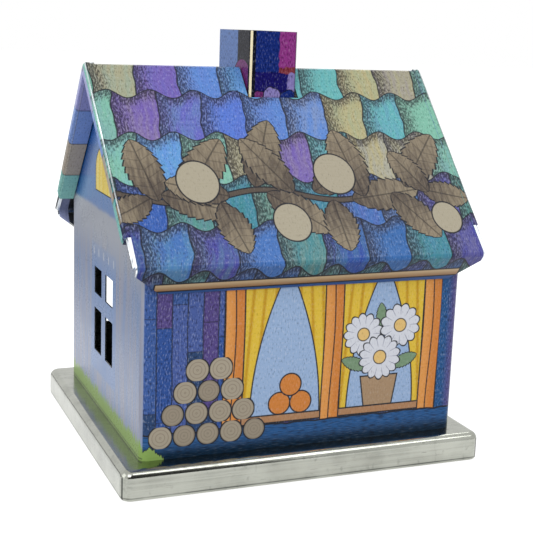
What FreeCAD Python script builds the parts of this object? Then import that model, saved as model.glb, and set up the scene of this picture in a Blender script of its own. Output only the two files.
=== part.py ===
"""A tin money box in the shape of a house, folded from tinplate and standing loose on a tray.

Millimetres, +Z up. The origin is under the middle of the tray, on the surface that it stands on.
The front wall faces -Y, the ridge runs along X, and coins go in by the open chimney.
"""
import FreeCAD
import Part
import Sketcher
import math
import os

# Driving dimensions: name, size in mm, meaning
SIZES = [
    ("gauge", 0.4, "thickness of the tinplate with its print"),
    ("seat_gap", 0.05, "gap between two sheets that are folded onto each other"),
    ("tray_width", 108.0, "tray along X"),
    ("tray_depth", 96.5, "tray along Y"),
    ("tray_height", 8.3, "height of the tray's skirt"),
    ("tray_bend", 2.2, "outer radius between the tray's top and its skirt"),
    ("corner_ease", 0.8, "how much rounder the tray's corners are than its bend"),
    ("rim_bend", 0.9, "outer radius at the foot of the skirt"),
    ("rim_lip", 3.0, "width of the rim that is turned in at the foot"),
    ("collar_height", 8.0, "locating collar above the tray's top"),
    ("collar_play", 0.4, "play between the collar and the walls"),
    ("collar_flange", 5.0, "width of the collar's weld flange"),
    ("wall_width", 94.8, "walls along X, outside"),
    ("wall_depth", 83.3, "walls along Y, outside"),
    ("wall_bend", 2.4, "outer radius of the wall corners"),
    ("seam_inset", 10.0, "from the back right corner to the visible end of the lap seam"),
    ("seam_lap", 6.0, "overlap of the wall sheet's two ends"),
    ("pane_width", 8.5, "width of a punched pane"),
    ("lower_pane", 13.2, "height of a lower pane"),
    ("upper_pane", 8.1, "height of an upper pane"),
    ("mullion", 4.6, "upright bar between two panes"),
    ("transom", 4.5, "level bar between two panes"),
    ("sill_height", 16.7, "foot of the lower panes above the tray"),
    ("back_window", 26.2, "middle of the back window, left of the house's middle"),
    ("back_pane", 16.2, "height of a pane of the back window"),
    ("eave_height", 53.6, "eaves above the tray"),
    ("roof_rise", 49.5, "ridge above the eaves"),
    ("verge_overhang", 4.7, "roof beyond the gables"),
    ("eave_overhang", 6.5, "roof beyond the front and back walls"),
    ("return_drop", 7.9, "height of the eave that is turned back under to the wall"),
    ("return_inset", 5.2, "from the wall's corner to the end of the eave return"),
    ("ridge_bend", 1.4, "outer radius at the ridge"),
    ("eave_bend", 1.4, "outer radius at the eaves"),
    ("verge_box", 3.3, "depth of the boxed verge, square to the slope"),
    ("verge_bend", 0.9, "outer radius along the top of the boxed verge"),
    ("verge_step", 0.2, "how far the plain edge below the box stands back behind the bend"),
    ("box_stop", 10.0, "from the eave to the end of the boxed verge, along the slope"),
    ("return_play", 0.3, "between the verge's return and the gable"),
    ("flange_play", 0.8, "between the gable's flange and the face of the verge"),
    ("ridge_notch", 1.5, "half the gap between the gable's two flanges at the peak"),
    ("chimney_width", 14.7, "chimney along X, outside"),
    ("chimney_depth", 27.8, "chimney along Y, outside"),
    ("chimney_rise", 10.0, "chimney above the ridge"),
    ("chimney_shift", 0.5, "middle of the chimney, right of the house's middle"),
    ("chimney_set_back", 5.8, "middle of the chimney behind the ridge"),
    ("chimney_bend", 1.4, "outer radius of the chimney's corners"),
    ("chimney_play", 0.5, "between the chimney and the edge of its hole in the roof"),
    ("chimney_lap", 5.0, "overlap of the chimney sheet's two ends"),
    ("chimney_seam", 4.0, "from the chimney's back right corner to the end of its lap"),
    ("tab_length", 6.0, "chimney tabs under the roof, along the slope"),
]

# Sizes that follow from the driving ones: name, formula
WORKED = [
    ("wall_x", "Sizes.wall_width / 2"),
    ("wall_y", "Sizes.wall_depth / 2"),
    ("roof_run", "Sizes.wall_depth / 2 + Sizes.eave_overhang"),
    ("roof_x", "Sizes.wall_width / 2 + Sizes.verge_overhang"),
    ("plain_x", "Worked.roof_x - Sizes.verge_bend - Sizes.verge_step"),
    ("eave_z", "Sizes.tray_height + Sizes.eave_height"),
    ("ridge_z", "Worked.eave_z + Sizes.roof_rise"),
    ("pitch", "atan(Sizes.roof_rise / Worked.roof_run)"),
    ("box_end", "Worked.roof_run / cos(Worked.pitch) - Sizes.box_stop"),
    ("return_run", "Sizes.eave_overhang - Sizes.gauge - Sizes.seat_gap"),
    ("return_pitch", "atan(Sizes.return_drop / Worked.return_run)"),
    ("inner_bend", "Sizes.gauge / sin((Worked.pitch + Worked.return_pitch) / 2)"),
    ("under_roof", "Sizes.gauge + Sizes.seat_gap"),
    ("under_fold", "2 * Sizes.gauge + Sizes.seat_gap"),
    ("chimney_front", "Sizes.chimney_set_back - Sizes.chimney_depth / 2"),
    ("chimney_back", "Sizes.chimney_set_back + Sizes.chimney_depth / 2"),
    ("chimney_top", "Worked.ridge_z + Sizes.chimney_rise"),
]

# Cuts run this far past the sheet that they cut
OVERCUT = 1.0
NEAR = 0.001

doc = FreeCAD.newDocument("money_box")


def fill_sheet(name, rows):
    """Make a spreadsheet with one named cell for each row."""
    sheet = doc.addObject("Spreadsheet::Sheet", name)
    for line, (alias, value, *meaning) in enumerate(rows, 1):
        sheet.set(f"A{line}", alias)
        sheet.set(f"B{line}", f"={value}" if isinstance(value, str) else str(value))
        sheet.setAlias(f"B{line}", alias)
        sheet.set(f"C{line}", *meaning or [""])
    doc.recompute()
    return sheet


sizes = fill_sheet("Sizes", SIZES)
fill_sheet("Worked", WORKED)


def number(expression):
    """The value that an expression on the two sheets has now."""
    value = sizes.evalExpression(expression)
    return float(getattr(value, "Value", value))


def new_body(name):
    body = doc.addObject("PartDesign::Body", name)
    body.Label = name
    return body


def new_sketch(body, name, role, offset="0"):
    """A sketch on one of the body's origin planes, moved along that plane's normal."""
    sketch = body.newObject("Sketcher::SketchObject", name)
    plane = next(feature for feature in body.Origin.OriginFeatures if feature.Role == role)
    sketch.AttachmentSupport = [(plane, "")]
    sketch.MapMode = "FlatFace"
    sketch.setExpression("AttachmentOffset.Base.z", offset)
    return sketch


def bind(sketch, kind, geometry, point, expression):
    """Tie one coordinate of a point, measured from the sketch's origin, to an expression."""
    rule = Sketcher.Constraint(kind, -1, 1, geometry, point, number(expression))
    sketch.setExpression(f"Constraints[{sketch.addConstraint(rule)}]", expression)


def trace(sketch, corners):
    """Draw a closed outline through corners that are given as pairs of expressions."""
    first = sketch.GeometryCount
    count = len(corners)
    places = [FreeCAD.Vector(number(across), number(up), 0) for across, up in corners]
    for start, end in zip(places, places[1:] + places[:1]):
        sketch.addGeometry(Part.LineSegment(start, end), False)
    for step, (across, up) in enumerate(corners):
        following = first + (step + 1) % count
        sketch.addConstraint(Sketcher.Constraint("Coincident", first + step, 2, following, 1))
        bind(sketch, "DistanceX", first + step, 1, across)
        bind(sketch, "DistanceY", first + step, 1, up)
    return sketch


def trace_box(sketch, left, right, bottom, top):
    return trace(sketch, [(left, bottom), (right, bottom), (right, top), (left, top)])


def mirrored(corners):
    """The same outline on the other side of the sketch's upright axis."""
    return [(f"-({across})", up) for across, up in corners]


def extrude(body, kind, name, sketch, length=None, symmetric=False, reverse=False):
    """Pad or Pocket a sketch; a Pocket with no length goes through everything."""
    feature = body.newObject(f"PartDesign::{kind}", name)
    feature.Profile = sketch
    if length is None:
        feature.Type = "ThroughAll"
    else:
        feature.setExpression("Length", length)
    feature.SideType = "Symmetric" if symmetric else "One side"
    feature.Reversed = reverse
    before = 0.0 if body.Shape.isNull() else body.Shape.Volume
    doc.recompute()
    grown = feature.Shape.Volume - before
    if (grown > 0) != (kind == "Pad") or abs(grown) < NEAR:
        raise RuntimeError(f"{body.Label}: {name} changed the volume by {grown:.4f}")
    return feature


def round_edges(body, name, radius, chosen):
    """Fillet the edges of the body so far that the test picks out."""
    base = body.Tip
    names = [f"Edge{count}" for count, edge in enumerate(base.Shape.Edges, 1) if chosen(edge)]
    fillet = body.newObject("PartDesign::Fillet", name)
    fillet.Base = (base, names)
    fillet.setExpression("Radius", radius)
    doc.recompute()
    if not names or not fillet.Shape.isValid():
        raise RuntimeError(f"{body.Label}: {name} was not made on {names}")
    return fillet


def runs_along(axis, spots):
    """A test for straight edges along an axis (0 is X, 2 is Z) at given places across it."""
    others = [index for index in range(3) if index != axis]
    places = [tuple(number(part) for part in spot) for spot in spots]

    def test(edge):
        ends = [tuple(vertex.Point[index] for index in others) for vertex in edge.Vertexes]
        return len(ends) == 2 and any(
            all(abs(got - want) < NEAR for end in ends for got, want in zip(end, place)) for place in places
        )
    return test


def level_at(height):
    """A test for edges that lie level at a height."""
    level = number(height)
    return lambda edge: all(abs(vertex.Z - level) < NEAR for vertex in edge.Vertexes)


def climbs_verge(edge):
    """Whether an edge climbs over the top of the roof at either end of it."""
    pitch = math.radians(number("Worked.pitch"))
    middle = sum(vertex.X for vertex in edge.Vertexes) / len(edge.Vertexes)
    at_end = abs(abs(middle) - number("Worked.roof_x")) < NEAR
    drops = [number("Worked.ridge_z") - vertex.Z for vertex in edge.Vertexes]
    return at_end and all(
        abs(drop * math.cos(pitch) - abs(vertex.Y) * math.sin(pitch)) < NEAR
        for drop, vertex in zip(drops, edge.Vertexes)
    )


def down_slope(distance, depth):
    """A place on the back slope: how far below the ridge, and how deep under the top, square to it."""
    across = f"({distance}) * cos(Worked.pitch) - ({depth}) * sin(Worked.pitch)"
    up = f"Worked.ridge_z - ({distance}) * sin(Worked.pitch) - ({depth}) * cos(Worked.pitch)"
    return across, up


def under_slope(across, depth):
    """A place under either slope at a given Y, as deep under the top as given, square to it."""
    up = f"Worked.ridge_z - ({depth}) / cos(Worked.pitch) - abs({across}) * tan(Worked.pitch)"
    return across, up


def trace_rounded(sketch, width, depth, radius):
    """Draw a rectangle with round corners about the sketch's origin."""
    half_x = number(width) / 2
    half_y = number(depth) / 2
    ease = number(radius)
    quarter = math.pi / 2
    directions = [(1, -1), (1, 1), (-1, 1), (-1, -1)]
    for turn, (side_x, side_y) in enumerate(directions):
        centre = FreeCAD.Vector(side_x * (half_x - ease), side_y * (half_y - ease), 0)
        circle = Part.Circle(centre, FreeCAD.Vector(0, 0, 1), ease)
        sketch.addGeometry(Part.ArcOfCircle(circle, (turn - 1) * quarter, turn * quarter), False)
    arcs = [sketch.Geometry[turn] for turn in range(4)]
    for turn in range(4):
        sketch.addGeometry(Part.LineSegment(arcs[turn].EndPoint, arcs[(turn + 1) % 4].StartPoint), False)
    for turn in range(4):
        line = 4 + turn
        following = (turn + 1) % 4
        sketch.addConstraint(Sketcher.Constraint("Tangent", turn, 2, line, 1))
        sketch.addConstraint(Sketcher.Constraint("Tangent", line, 2, following, 1))
        sketch.addConstraint(Sketcher.Constraint("Vertical" if turn % 2 == 0 else "Horizontal", line))
        if turn:
            sketch.addConstraint(Sketcher.Constraint("Equal", 0, turn))
    rule = sketch.addConstraint(Sketcher.Constraint("Radius", 0, ease))
    sketch.setExpression(f"Constraints[{rule}]", radius)
    for line, kind, expression in (
        (4, "DistanceX", f"({width}) / 2"),
        (5, "DistanceY", f"({depth}) / 2"),
        (6, "DistanceX", f"-({width}) / 2"),
        (7, "DistanceY", f"-({depth}) / 2"),
    ):
        bind(sketch, kind, line, 1, expression)
    return sketch


def trace_wrap(sketch, middle, half, bend_seam, lap):
    """Draw the plan of a sheet wrapped into a rectangular tube whose ends lap on the back side."""
    (middle_x, middle_y), (half_x, half_y) = middle, half
    left, right = f"{middle_x} - {half_x}", f"{middle_x} + {half_x}"
    front, back = f"{middle_y} - {half_y}", f"{middle_y} + {half_y}"
    seam = f"{right} - {bend_seam}"
    tail = f"{seam} - {lap}"
    return trace(sketch, [
        (seam, back),
        (left, back),
        (left, front),
        (right, front),
        (right, f"{back} - Worked.under_roof"),
        (tail, f"{back} - Worked.under_roof"),
        (tail, f"{back} - Worked.under_fold"),
        (f"{right} - Sizes.gauge", f"{back} - Worked.under_fold"),
        (f"{right} - Sizes.gauge", f"{front} + Sizes.gauge"),
        (f"{left} + Sizes.gauge", f"{front} + Sizes.gauge"),
        (f"{left} + Sizes.gauge", f"{back} - Sizes.gauge"),
        (seam, f"{back} - Sizes.gauge"),
    ])


def bend_wrap(body, middle, half, bend):
    """Round the four folds of a wrapped sheet, outside and inside."""
    (middle_x, middle_y), (half_x, half_y) = middle, half
    left, right = f"{middle_x} - {half_x}", f"{middle_x} + {half_x}"
    front, back = f"{middle_y} - {half_y}", f"{middle_y} + {half_y}"
    outer = [(left, back), (left, front), (right, front), (right, f"{back} - Worked.under_roof")]
    inner = [
        (f"{left} + Sizes.gauge", f"{back} - Sizes.gauge"),
        (f"{left} + Sizes.gauge", f"{front} + Sizes.gauge"),
        (f"{right} - Sizes.gauge", f"{front} + Sizes.gauge"),
        (f"{right} - Sizes.gauge", f"{back} - Worked.under_fold"),
    ]
    round_edges(body, "inner_bends", f"{bend} - Sizes.gauge", runs_along(2, inner))
    round_edges(body, "outer_bends", bend, runs_along(2, outer))


def trace_panes(sketch, middle, rows):
    """Draw a window's panes in pairs. Each row is given by its foot and its height."""
    for foot, height in rows:
        for side in ("-", "+"):
            near = f"{middle} {side} Sizes.mullion / 2"
            far = f"{middle} {side} (Sizes.mullion / 2 + Sizes.pane_width)"
            trace_box(sketch, near, far, foot, f"{foot} + {height}")
    return sketch


def make_base_tray():
    """A drawn pan, upside down, with its rim turned in to stand on."""
    body = new_body("base_tray")
    corner = "(Sizes.tray_bend + Sizes.corner_ease)"
    outside = new_sketch(body, "outside", "XY_Plane")
    trace_rounded(outside, "Sizes.tray_width", "Sizes.tray_depth", corner)
    extrude(body, "Pad", "block", outside, "Sizes.tray_height")
    round_edges(body, "rim_outside", "Sizes.rim_bend", level_at("0"))
    inside = new_sketch(body, "inside", "XY_Plane", "Sizes.gauge")
    trace_rounded(inside, "Sizes.tray_width - 2 * Sizes.gauge", "Sizes.tray_depth - 2 * Sizes.gauge",
                  f"{corner} - Sizes.gauge")
    extrude(body, "Pocket", "hollow", inside, "Sizes.tray_height - 2 * Sizes.gauge", reverse=True)
    mouth = new_sketch(body, "mouth", "XY_Plane")
    trace_rounded(mouth, "Sizes.tray_width - 2 * Sizes.rim_lip", "Sizes.tray_depth - 2 * Sizes.rim_lip",
                  corner)
    extrude(body, "Pocket", "open_foot", mouth, "2 * Sizes.gauge", reverse=True)
    round_edges(body, "bend_inside", "Sizes.tray_bend - Sizes.gauge",
                level_at("Sizes.tray_height - Sizes.gauge"))
    round_edges(body, "bend_outside", "Sizes.tray_bend", level_at("Sizes.tray_height"))
    return body


def make_locating_collar():
    """A strip bent into a low frame and welded to the tray, which the walls drop over."""
    body = new_body("locating_collar")
    width = "Sizes.wall_width - 2 * (Sizes.gauge + Sizes.collar_play)"
    depth = "Sizes.wall_depth - 2 * (Worked.under_fold + Sizes.collar_play)"
    bend = "Sizes.wall_bend - Sizes.gauge"
    outside = new_sketch(body, "outside", "XY_Plane", "Sizes.tray_height")
    trace_rounded(outside, width, depth, bend)
    extrude(body, "Pad", "block", outside, "Sizes.collar_height")
    inside = new_sketch(body, "inside", "XY_Plane", "Sizes.tray_height + Sizes.gauge")
    trace_rounded(inside, f"{width} - 2 * Sizes.gauge", f"{depth} - 2 * Sizes.gauge", f"{bend} - Sizes.gauge")
    extrude(body, "Pocket", "hollow", inside, "Sizes.collar_height", reverse=True)
    mouth = new_sketch(body, "mouth", "XY_Plane", "Sizes.tray_height")
    trace_rounded(mouth, f"{width} - 2 * Sizes.collar_flange", f"{depth} - 2 * Sizes.collar_flange", bend)
    extrude(body, "Pocket", "open_middle", mouth, "2 * Sizes.gauge", reverse=True)
    return body


def make_wall_sheet():
    """One sheet round all four walls, with gable peaks, flanges inside the verges, and punched panes."""
    body = new_body("wall_sheet")
    middle = ("0", "0")
    half = ("Worked.wall_x", "Worked.wall_y")
    plan = new_sketch(body, "plan", "XY_Plane", "Sizes.tray_height")
    trace_wrap(plan, middle, half, "Sizes.seam_inset", "Sizes.seam_lap")
    extrude(body, "Pad", "wrap", plan, "Worked.ridge_z - Sizes.tray_height")
    bend_wrap(body, middle, half, "Sizes.wall_bend")

    past = f"Worked.wall_y + {OVERCUT}"
    above = f"Worked.ridge_z + {OVERCUT}"
    slopes = new_sketch(body, "slopes", "YZ_Plane")
    trace(slopes, [
        under_slope(f"-({past})", "Worked.under_roof"),
        under_slope("0", "Worked.under_roof"),
        under_slope(past, "Worked.under_roof"),
        (past, above),
        (f"-({past})", above),
    ])
    extrude(body, "Pocket", "gable_peaks", slopes, symmetric=True)

    foot = "Worked.wall_y - Sizes.wall_bend"
    strip = [
        under_slope("Sizes.ridge_notch", "Worked.under_roof"),
        under_slope(foot, "Worked.under_roof"),
        under_slope(foot, "Worked.under_fold"),
        under_slope("Sizes.ridge_notch", "Worked.under_fold"),
    ]
    reach = "Sizes.verge_overhang - Sizes.flange_play"
    for side, sign in (("right", ""), ("left", "-")):
        flange = new_sketch(body, f"{side}_flange", "YZ_Plane", f"{sign}(Worked.wall_x - Sizes.gauge)")
        trace(flange, strip)
        trace(flange, mirrored(strip))
        extrude(body, "Pad", f"{side}_gable_flange", flange, reach, reverse=side == "left")

    sill = "Sizes.tray_height + Sizes.sill_height"
    above_transom = f"{sill} + Sizes.lower_pane + Sizes.transom"
    gable_rows = [(sill, "Sizes.lower_pane"), (above_transom, "Sizes.upper_pane")]
    panes = trace_panes(new_sketch(body, "gable_panes", "YZ_Plane"), "0", gable_rows)
    extrude(body, "Pocket", "gable_windows", panes, symmetric=True)
    back_rows = [(sill, "Sizes.back_pane")]
    panes = trace_panes(new_sketch(body, "back_panes", "XZ_Plane"), "-Sizes.back_window", back_rows)
    extrude(body, "Pocket", "back_window", panes)
    return body


def make_roof_sheet():
    """One sheet bent at the ridge, with boxed verges and eaves turned back under to the walls."""
    body = new_body("roof_sheet")
    inner_turn = "(Worked.pitch - Worked.return_pitch) / 2"
    back_half = [
        ("Worked.roof_run", "Worked.eave_z"),
        ("Worked.roof_run - Worked.return_run", "Worked.eave_z - Sizes.return_drop"),
        ("Worked.roof_run - Worked.return_run - Sizes.gauge * sin(Worked.return_pitch)",
         "Worked.eave_z - Sizes.return_drop + Sizes.gauge * cos(Worked.return_pitch)"),
        (f"Worked.roof_run - Worked.inner_bend * cos({inner_turn})",
         f"Worked.eave_z + Worked.inner_bend * sin({inner_turn})"),
    ]
    ridge = under_slope("0", "0")
    ridge_inside = under_slope("0", "Sizes.gauge")
    profile = new_sketch(body, "profile", "YZ_Plane")
    trace(profile, [ridge] + back_half + [ridge_inside] + mirrored(back_half[::-1]))
    extrude(body, "Pad", "slopes", profile, "2 * Worked.plain_x", symmetric=True)

    def trace_band(sketch, end, upper, lower):
        """Draw a band under both slopes between two depths."""
        half = [down_slope(end, upper), down_slope(end, lower)]
        trace(sketch, [under_slope("0", upper)] + half + [under_slope("0", lower)] + mirrored(half[::-1]))
        return sketch

    band = trace_band(new_sketch(body, "verge", "YZ_Plane"), "Worked.box_end", "0", "Sizes.verge_box")
    extrude(body, "Pad", "verge_blocks", band, "2 * Worked.roof_x", symmetric=True)
    band = trace_band(new_sketch(body, "verge_inside", "YZ_Plane"), f"Worked.box_end + {OVERCUT}",
                      "Sizes.gauge", "Sizes.verge_box - Sizes.gauge")
    extrude(body, "Pocket", "verge_hollows", band, "2 * (Worked.roof_x - Sizes.gauge)", symmetric=True)
    band = trace_band(new_sketch(body, "between_verges", "YZ_Plane"), f"Worked.box_end + {OVERCUT}",
                      "Sizes.verge_box / 2", f"Sizes.verge_box + {OVERCUT}")
    extrude(body, "Pocket", "verge_returns", band, "2 * (Worked.wall_x + Sizes.return_play)", symmetric=True)

    round_edges(body, "ridge_inside", "Sizes.ridge_bend - Sizes.gauge", runs_along(0, [ridge_inside]))
    round_edges(body, "ridge_outside", "Sizes.ridge_bend", runs_along(0, [ridge]))
    eaves = back_half[:1] + mirrored(back_half[:1])
    eaves_inside = back_half[-1:] + mirrored(back_half[-1:])
    round_edges(body, "eave_inside", "Sizes.eave_bend - Sizes.gauge", runs_along(0, eaves_inside))
    round_edges(body, "eave_outside", "Sizes.eave_bend", runs_along(0, eaves))
    round_edges(body, "verge_bend", "Sizes.verge_bend", climbs_verge)

    foot_x = "Worked.wall_x - Sizes.return_inset"
    start_y = "Worked.roof_run - Sizes.eave_bend"
    corner = [
        ("Worked.plain_x", start_y),
        (f"Worked.roof_x + {OVERCUT}", start_y),
        (f"Worked.roof_x + {OVERCUT}", f"Worked.wall_y - {OVERCUT}"),
        (foot_x, f"Worked.wall_y - {OVERCUT}"),
        (foot_x, "Worked.wall_y"),
    ]
    tapers = new_sketch(body, "return_ends", "XY_Plane", "Worked.eave_z - Sizes.eave_bend")
    for outline in (corner, mirrored(corner)):
        trace(tapers, outline)
        trace(tapers, [(across, f"-({up})") for across, up in outline])
    extrude(body, "Pocket", "return_tapers", tapers, f"Sizes.return_drop + {OVERCUT}")

    hole = new_sketch(body, "chimney_hole", "XY_Plane", f"Worked.ridge_z + {OVERCUT}")
    reach = "Sizes.chimney_width / 2 + Sizes.chimney_play"
    trace_box(hole, f"Sizes.chimney_shift - ({reach})", f"Sizes.chimney_shift + ({reach})",
              "Worked.chimney_front - Sizes.chimney_play", "Worked.chimney_back + Sizes.chimney_play")
    extrude(body, "Pocket", "chimney_opening", hole)
    return body


def make_chimney_tube():
    """One sheet folded into an open tube, with a tab at its front and back bent out under the roof."""
    body = new_body("chimney_tube")
    middle = ("Sizes.chimney_shift", "Sizes.chimney_set_back")
    half = ("Sizes.chimney_width / 2", "Sizes.chimney_depth / 2")
    foot = under_slope("Worked.chimney_back", "Worked.under_fold")[1]
    plan = new_sketch(body, "plan", "XY_Plane", foot)
    trace_wrap(plan, middle, half, "Sizes.chimney_seam", "Sizes.chimney_lap")
    extrude(body, "Pad", "wrap", plan, f"Worked.chimney_top - ({foot})")
    bend_wrap(body, middle, half, "Sizes.chimney_bend")

    front_past = f"Worked.chimney_front - {OVERCUT}"
    back_past = f"Worked.chimney_back + {OVERCUT}"
    below = f"{foot} - 2 * {OVERCUT}"
    slopes = new_sketch(body, "slopes", "YZ_Plane")
    trace(slopes, [
        under_slope(front_past, "Worked.under_fold"),
        (front_past, below),
        (back_past, below),
        under_slope(back_past, "Worked.under_fold"),
        under_slope("0", "Worked.under_fold"),
    ])
    extrude(body, "Pocket", "sloping_foot", slopes, symmetric=True)

    tabs = new_sketch(body, "tabs", "YZ_Plane", "Sizes.chimney_shift")
    for face, way in (("Worked.chimney_front", "-"), ("Worked.chimney_back", "+")):
        inner = f"{face} {'+' if way == '-' else '-'} Sizes.gauge"
        outer = f"{face} {way} Sizes.tab_length * cos(Worked.pitch)"
        trace(tabs, [
            under_slope(inner, "Worked.under_roof"),
            under_slope(outer, "Worked.under_roof"),
            under_slope(outer, "Worked.under_fold"),
            under_slope(inner, "Worked.under_fold"),
        ])
    extrude(body, "Pad", "bent_tabs", tabs, "Sizes.chimney_width - 2 * Sizes.chimney_bend", symmetric=True)
    return body


def export(bodies):
    """Check that everything was built whole, then write one file for each piece."""
    doc.recompute()
    for item in doc.Objects:
        if {"Invalid", "Error"} & set(item.State):
            raise RuntimeError(f"{item.Label} failed: {item.State}")
    os.makedirs("parts", exist_ok=True)
    for body in bodies:
        shape = body.Shape
        if shape.isNull() or not shape.isValid() or len(shape.Solids) != 1:
            raise RuntimeError(f"{body.Label} is not one valid solid")
        shape.exportStep(f"parts/{body.Label}.step")
        box = shape.BoundBox
        print(f"{body.Label}: {shape.Volume:.1f} mm3, x {box.XMin:.2f} to {box.XMax:.2f}, "
              f"y {box.YMin:.2f} to {box.YMax:.2f}, z {box.ZMin:.2f} to {box.ZMax:.2f}")


export([
    make_base_tray(),
    make_locating_collar(),
    make_wall_sheet(),
    make_roof_sheet(),
    make_chimney_tube(),
])
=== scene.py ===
# %% [markdown]
# # A tin money box in the shape of a house
#
# The real box is a few sheets of tinplate: a bare pressed tray with a collar, a printed wall wrap, a
# printed roof and a printed chimney. The CAD frame already holds every fold at its true size, so this
# lesson is mostly about finish. Nearly everything that the eye reads on such a box is ink, and here all
# of that ink is made of shader nodes, in millimetres, on the sheets' own coordinates.

# %% Load the frame
import math
import bpy
import bmesh
from mathutils import Color, Matrix, Vector


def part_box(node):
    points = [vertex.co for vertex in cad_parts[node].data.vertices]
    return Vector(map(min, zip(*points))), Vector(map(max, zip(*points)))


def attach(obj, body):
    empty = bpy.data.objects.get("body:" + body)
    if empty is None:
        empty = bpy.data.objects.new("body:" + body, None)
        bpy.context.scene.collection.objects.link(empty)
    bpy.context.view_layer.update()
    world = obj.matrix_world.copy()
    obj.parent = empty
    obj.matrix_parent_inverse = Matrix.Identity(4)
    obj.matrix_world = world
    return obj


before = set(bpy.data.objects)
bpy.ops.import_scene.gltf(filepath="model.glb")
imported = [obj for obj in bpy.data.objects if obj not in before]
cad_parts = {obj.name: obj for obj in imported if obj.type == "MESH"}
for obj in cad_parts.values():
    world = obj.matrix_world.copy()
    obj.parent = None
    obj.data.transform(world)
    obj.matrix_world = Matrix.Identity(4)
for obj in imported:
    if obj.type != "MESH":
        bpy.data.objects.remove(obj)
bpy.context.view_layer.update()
scene = bpy.context.scene
scene.view_settings.view_transform = "Standard"
print("nodes:", sorted(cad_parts))

# %% [markdown]
# ## The camera
#
# The camera was matched to the photograph by the corners of the tray, the eaves, the ridge and the
# chimney. It stands to the left of the front, about as high as the top of the chimney, and is very
# slightly tilted. It could be aimed with a constraint, but two angles, a distance and the point that it
# looks at are plain values in the part's own frame, so that the view can be checked against a drawing.

# %% Camera
PHOTO_PIXELS = 533
FOCAL_PIXELS = 1136.6
SENSOR = 36.0
AZIMUTH = math.radians(-22.262)
ELEVATION = math.radians(11.969)
TILT = math.radians(2.104)
DISTANCE = 0.35009
TARGET = Vector((0.003792, 0.0, 0.050395))
NEAREST = 0.01


def make_camera():
    level = math.cos(ELEVATION)
    back = Vector((math.sin(AZIMUTH) * level, -math.cos(AZIMUTH) * level, math.sin(ELEVATION)))
    aim = back.to_track_quat("Z", "Y").to_matrix().to_4x4()
    data = bpy.data.cameras.new("photo_camera")
    data.sensor_width = SENSOR
    data.lens = FOCAL_PIXELS / PHOTO_PIXELS * SENSOR
    data.clip_start = NEAREST
    camera = bpy.data.objects.new("photo_camera", data)
    place = Matrix.Translation(TARGET + back * DISTANCE)
    camera.matrix_world = place @ aim @ Matrix.Rotation(TILT, 4, "Z")
    scene.collection.objects.link(camera)
    scene.camera = camera
    return camera


camera = make_camera()
print("camera lens", round(camera.data.lens, 2), "mm")

# %% [markdown]
# ## Writing shaders as sums
#
# A printed pattern is mostly arithmetic: which row of tiles is this point in, how far is it from an
# outline? One could place and wire each Math node by hand, but the sum would be lost among the wiring.
# So a small class stands for a value on its way through a node tree, and the usual signs of a sum make
# the Math nodes. The result is an ordinary node tree that can be opened in the shader editor.

# %% Values in a node tree
STEP = 0.1


def feed(tree, socket, value):
    if isinstance(value, Signal):
        tree.links.new(value.socket, socket)
    else:
        socket.default_value = value


class Signal:
    """A value in a node tree. Signs such as + and words such as floor() make its Math nodes."""

    def __init__(self, tree, socket):
        self.tree = tree
        self.socket = socket

    def math(self, operation, *others):
        node = self.tree.nodes.new("ShaderNodeMath")
        node.operation = operation
        for socket, value in zip(node.inputs, (self,) + others):
            feed(self.tree, socket, value)
        return Signal(self.tree, node.outputs[0])

    def rise(self, low, high):
        """0 below low and 1 above high, with a smooth step between them."""
        node = self.tree.nodes.new("ShaderNodeMapRange")
        node.interpolation_type = "SMOOTHSTEP"
        for name, value in (("Value", self), ("From Min", low), ("From Max", high)):
            feed(self.tree, node.inputs[name], value)
        return Signal(self.tree, node.outputs["Result"])

    def fall(self, low, high):
        return 1.0 - self.rise(low, high)

    def past(self, place):
        """1 past a place, with a short step."""
        return self.rise(place, place + STEP)

    def between(self, low, high, soft):
        """1 between low and high, with soft edges."""
        return self.rise(low - soft, low + soft) * self.fall(high - soft, high + soft)

    def line(self, width, soft):
        """1 along the places where this value is zero, as wide as a drawn line."""
        return abs(self).fall(width / 2 - soft, width / 2 + soft)

    def floor(self):
        return self.math("FLOOR")

    def part(self):
        """What is left over after whole steps, from 0 to 1."""
        return self.math("FRACT")

    def to_whole(self):
        """How far it is to the nearest whole step, up to a half."""
        return self.part().smaller(1.0 - self.part())

    def sine(self):
        return self.math("SINE")

    def sign(self):
        return self.math("SIGN")

    def smaller(self, other):
        return self.math("MINIMUM", other)

    def larger(self, other):
        return self.math("MAXIMUM", other)

    def below(self, other):
        return self.math("LESS_THAN", other)

    def power(self, other):
        return self.math("POWER", other)

    def __abs__(self):
        return self.math("ABSOLUTE")

    def __add__(self, other):
        return self.math("ADD", other)

    __radd__ = __add__

    def __sub__(self, other):
        return self.math("SUBTRACT", other)

    def __rsub__(self, other):
        return self.math("MULTIPLY_ADD", -1.0, other)

    def __mul__(self, other):
        return self.math("MULTIPLY", other)

    def __truediv__(self, other):
        return self.math("DIVIDE", other)


def away_from(across, up):
    """The distance from the point where both values are zero."""
    return (across * across + up * up).power(0.5)


print("a Signal knows", len([word for word in vars(Signal) if not word.startswith("_")]), "words")

# %% [markdown]
# ## Colours as they look
#
# Inks are easiest to choose as a picture program shows them, from 0 to 255, but a shader works in linear
# light. The numbers could be converted by hand, and then nobody could read them. The built-in conversion
# lets the script keep the numbers that one would pick on a screen.

# %% Colours
BRIGHTEST = 255


def paint(red, green, blue):
    shown = Color((red / BRIGHTEST, green / BRIGHTEST, blue / BRIGHTEST))
    return (*shown.from_srgb_to_scene_linear(), 1.0)


def grey(level):
    """A grey in linear light."""
    return (level, level, level, 1.0)


print("paint(128, 128, 128) is", tuple(round(v, 3) for v in paint(128, 128, 128)))

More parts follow.
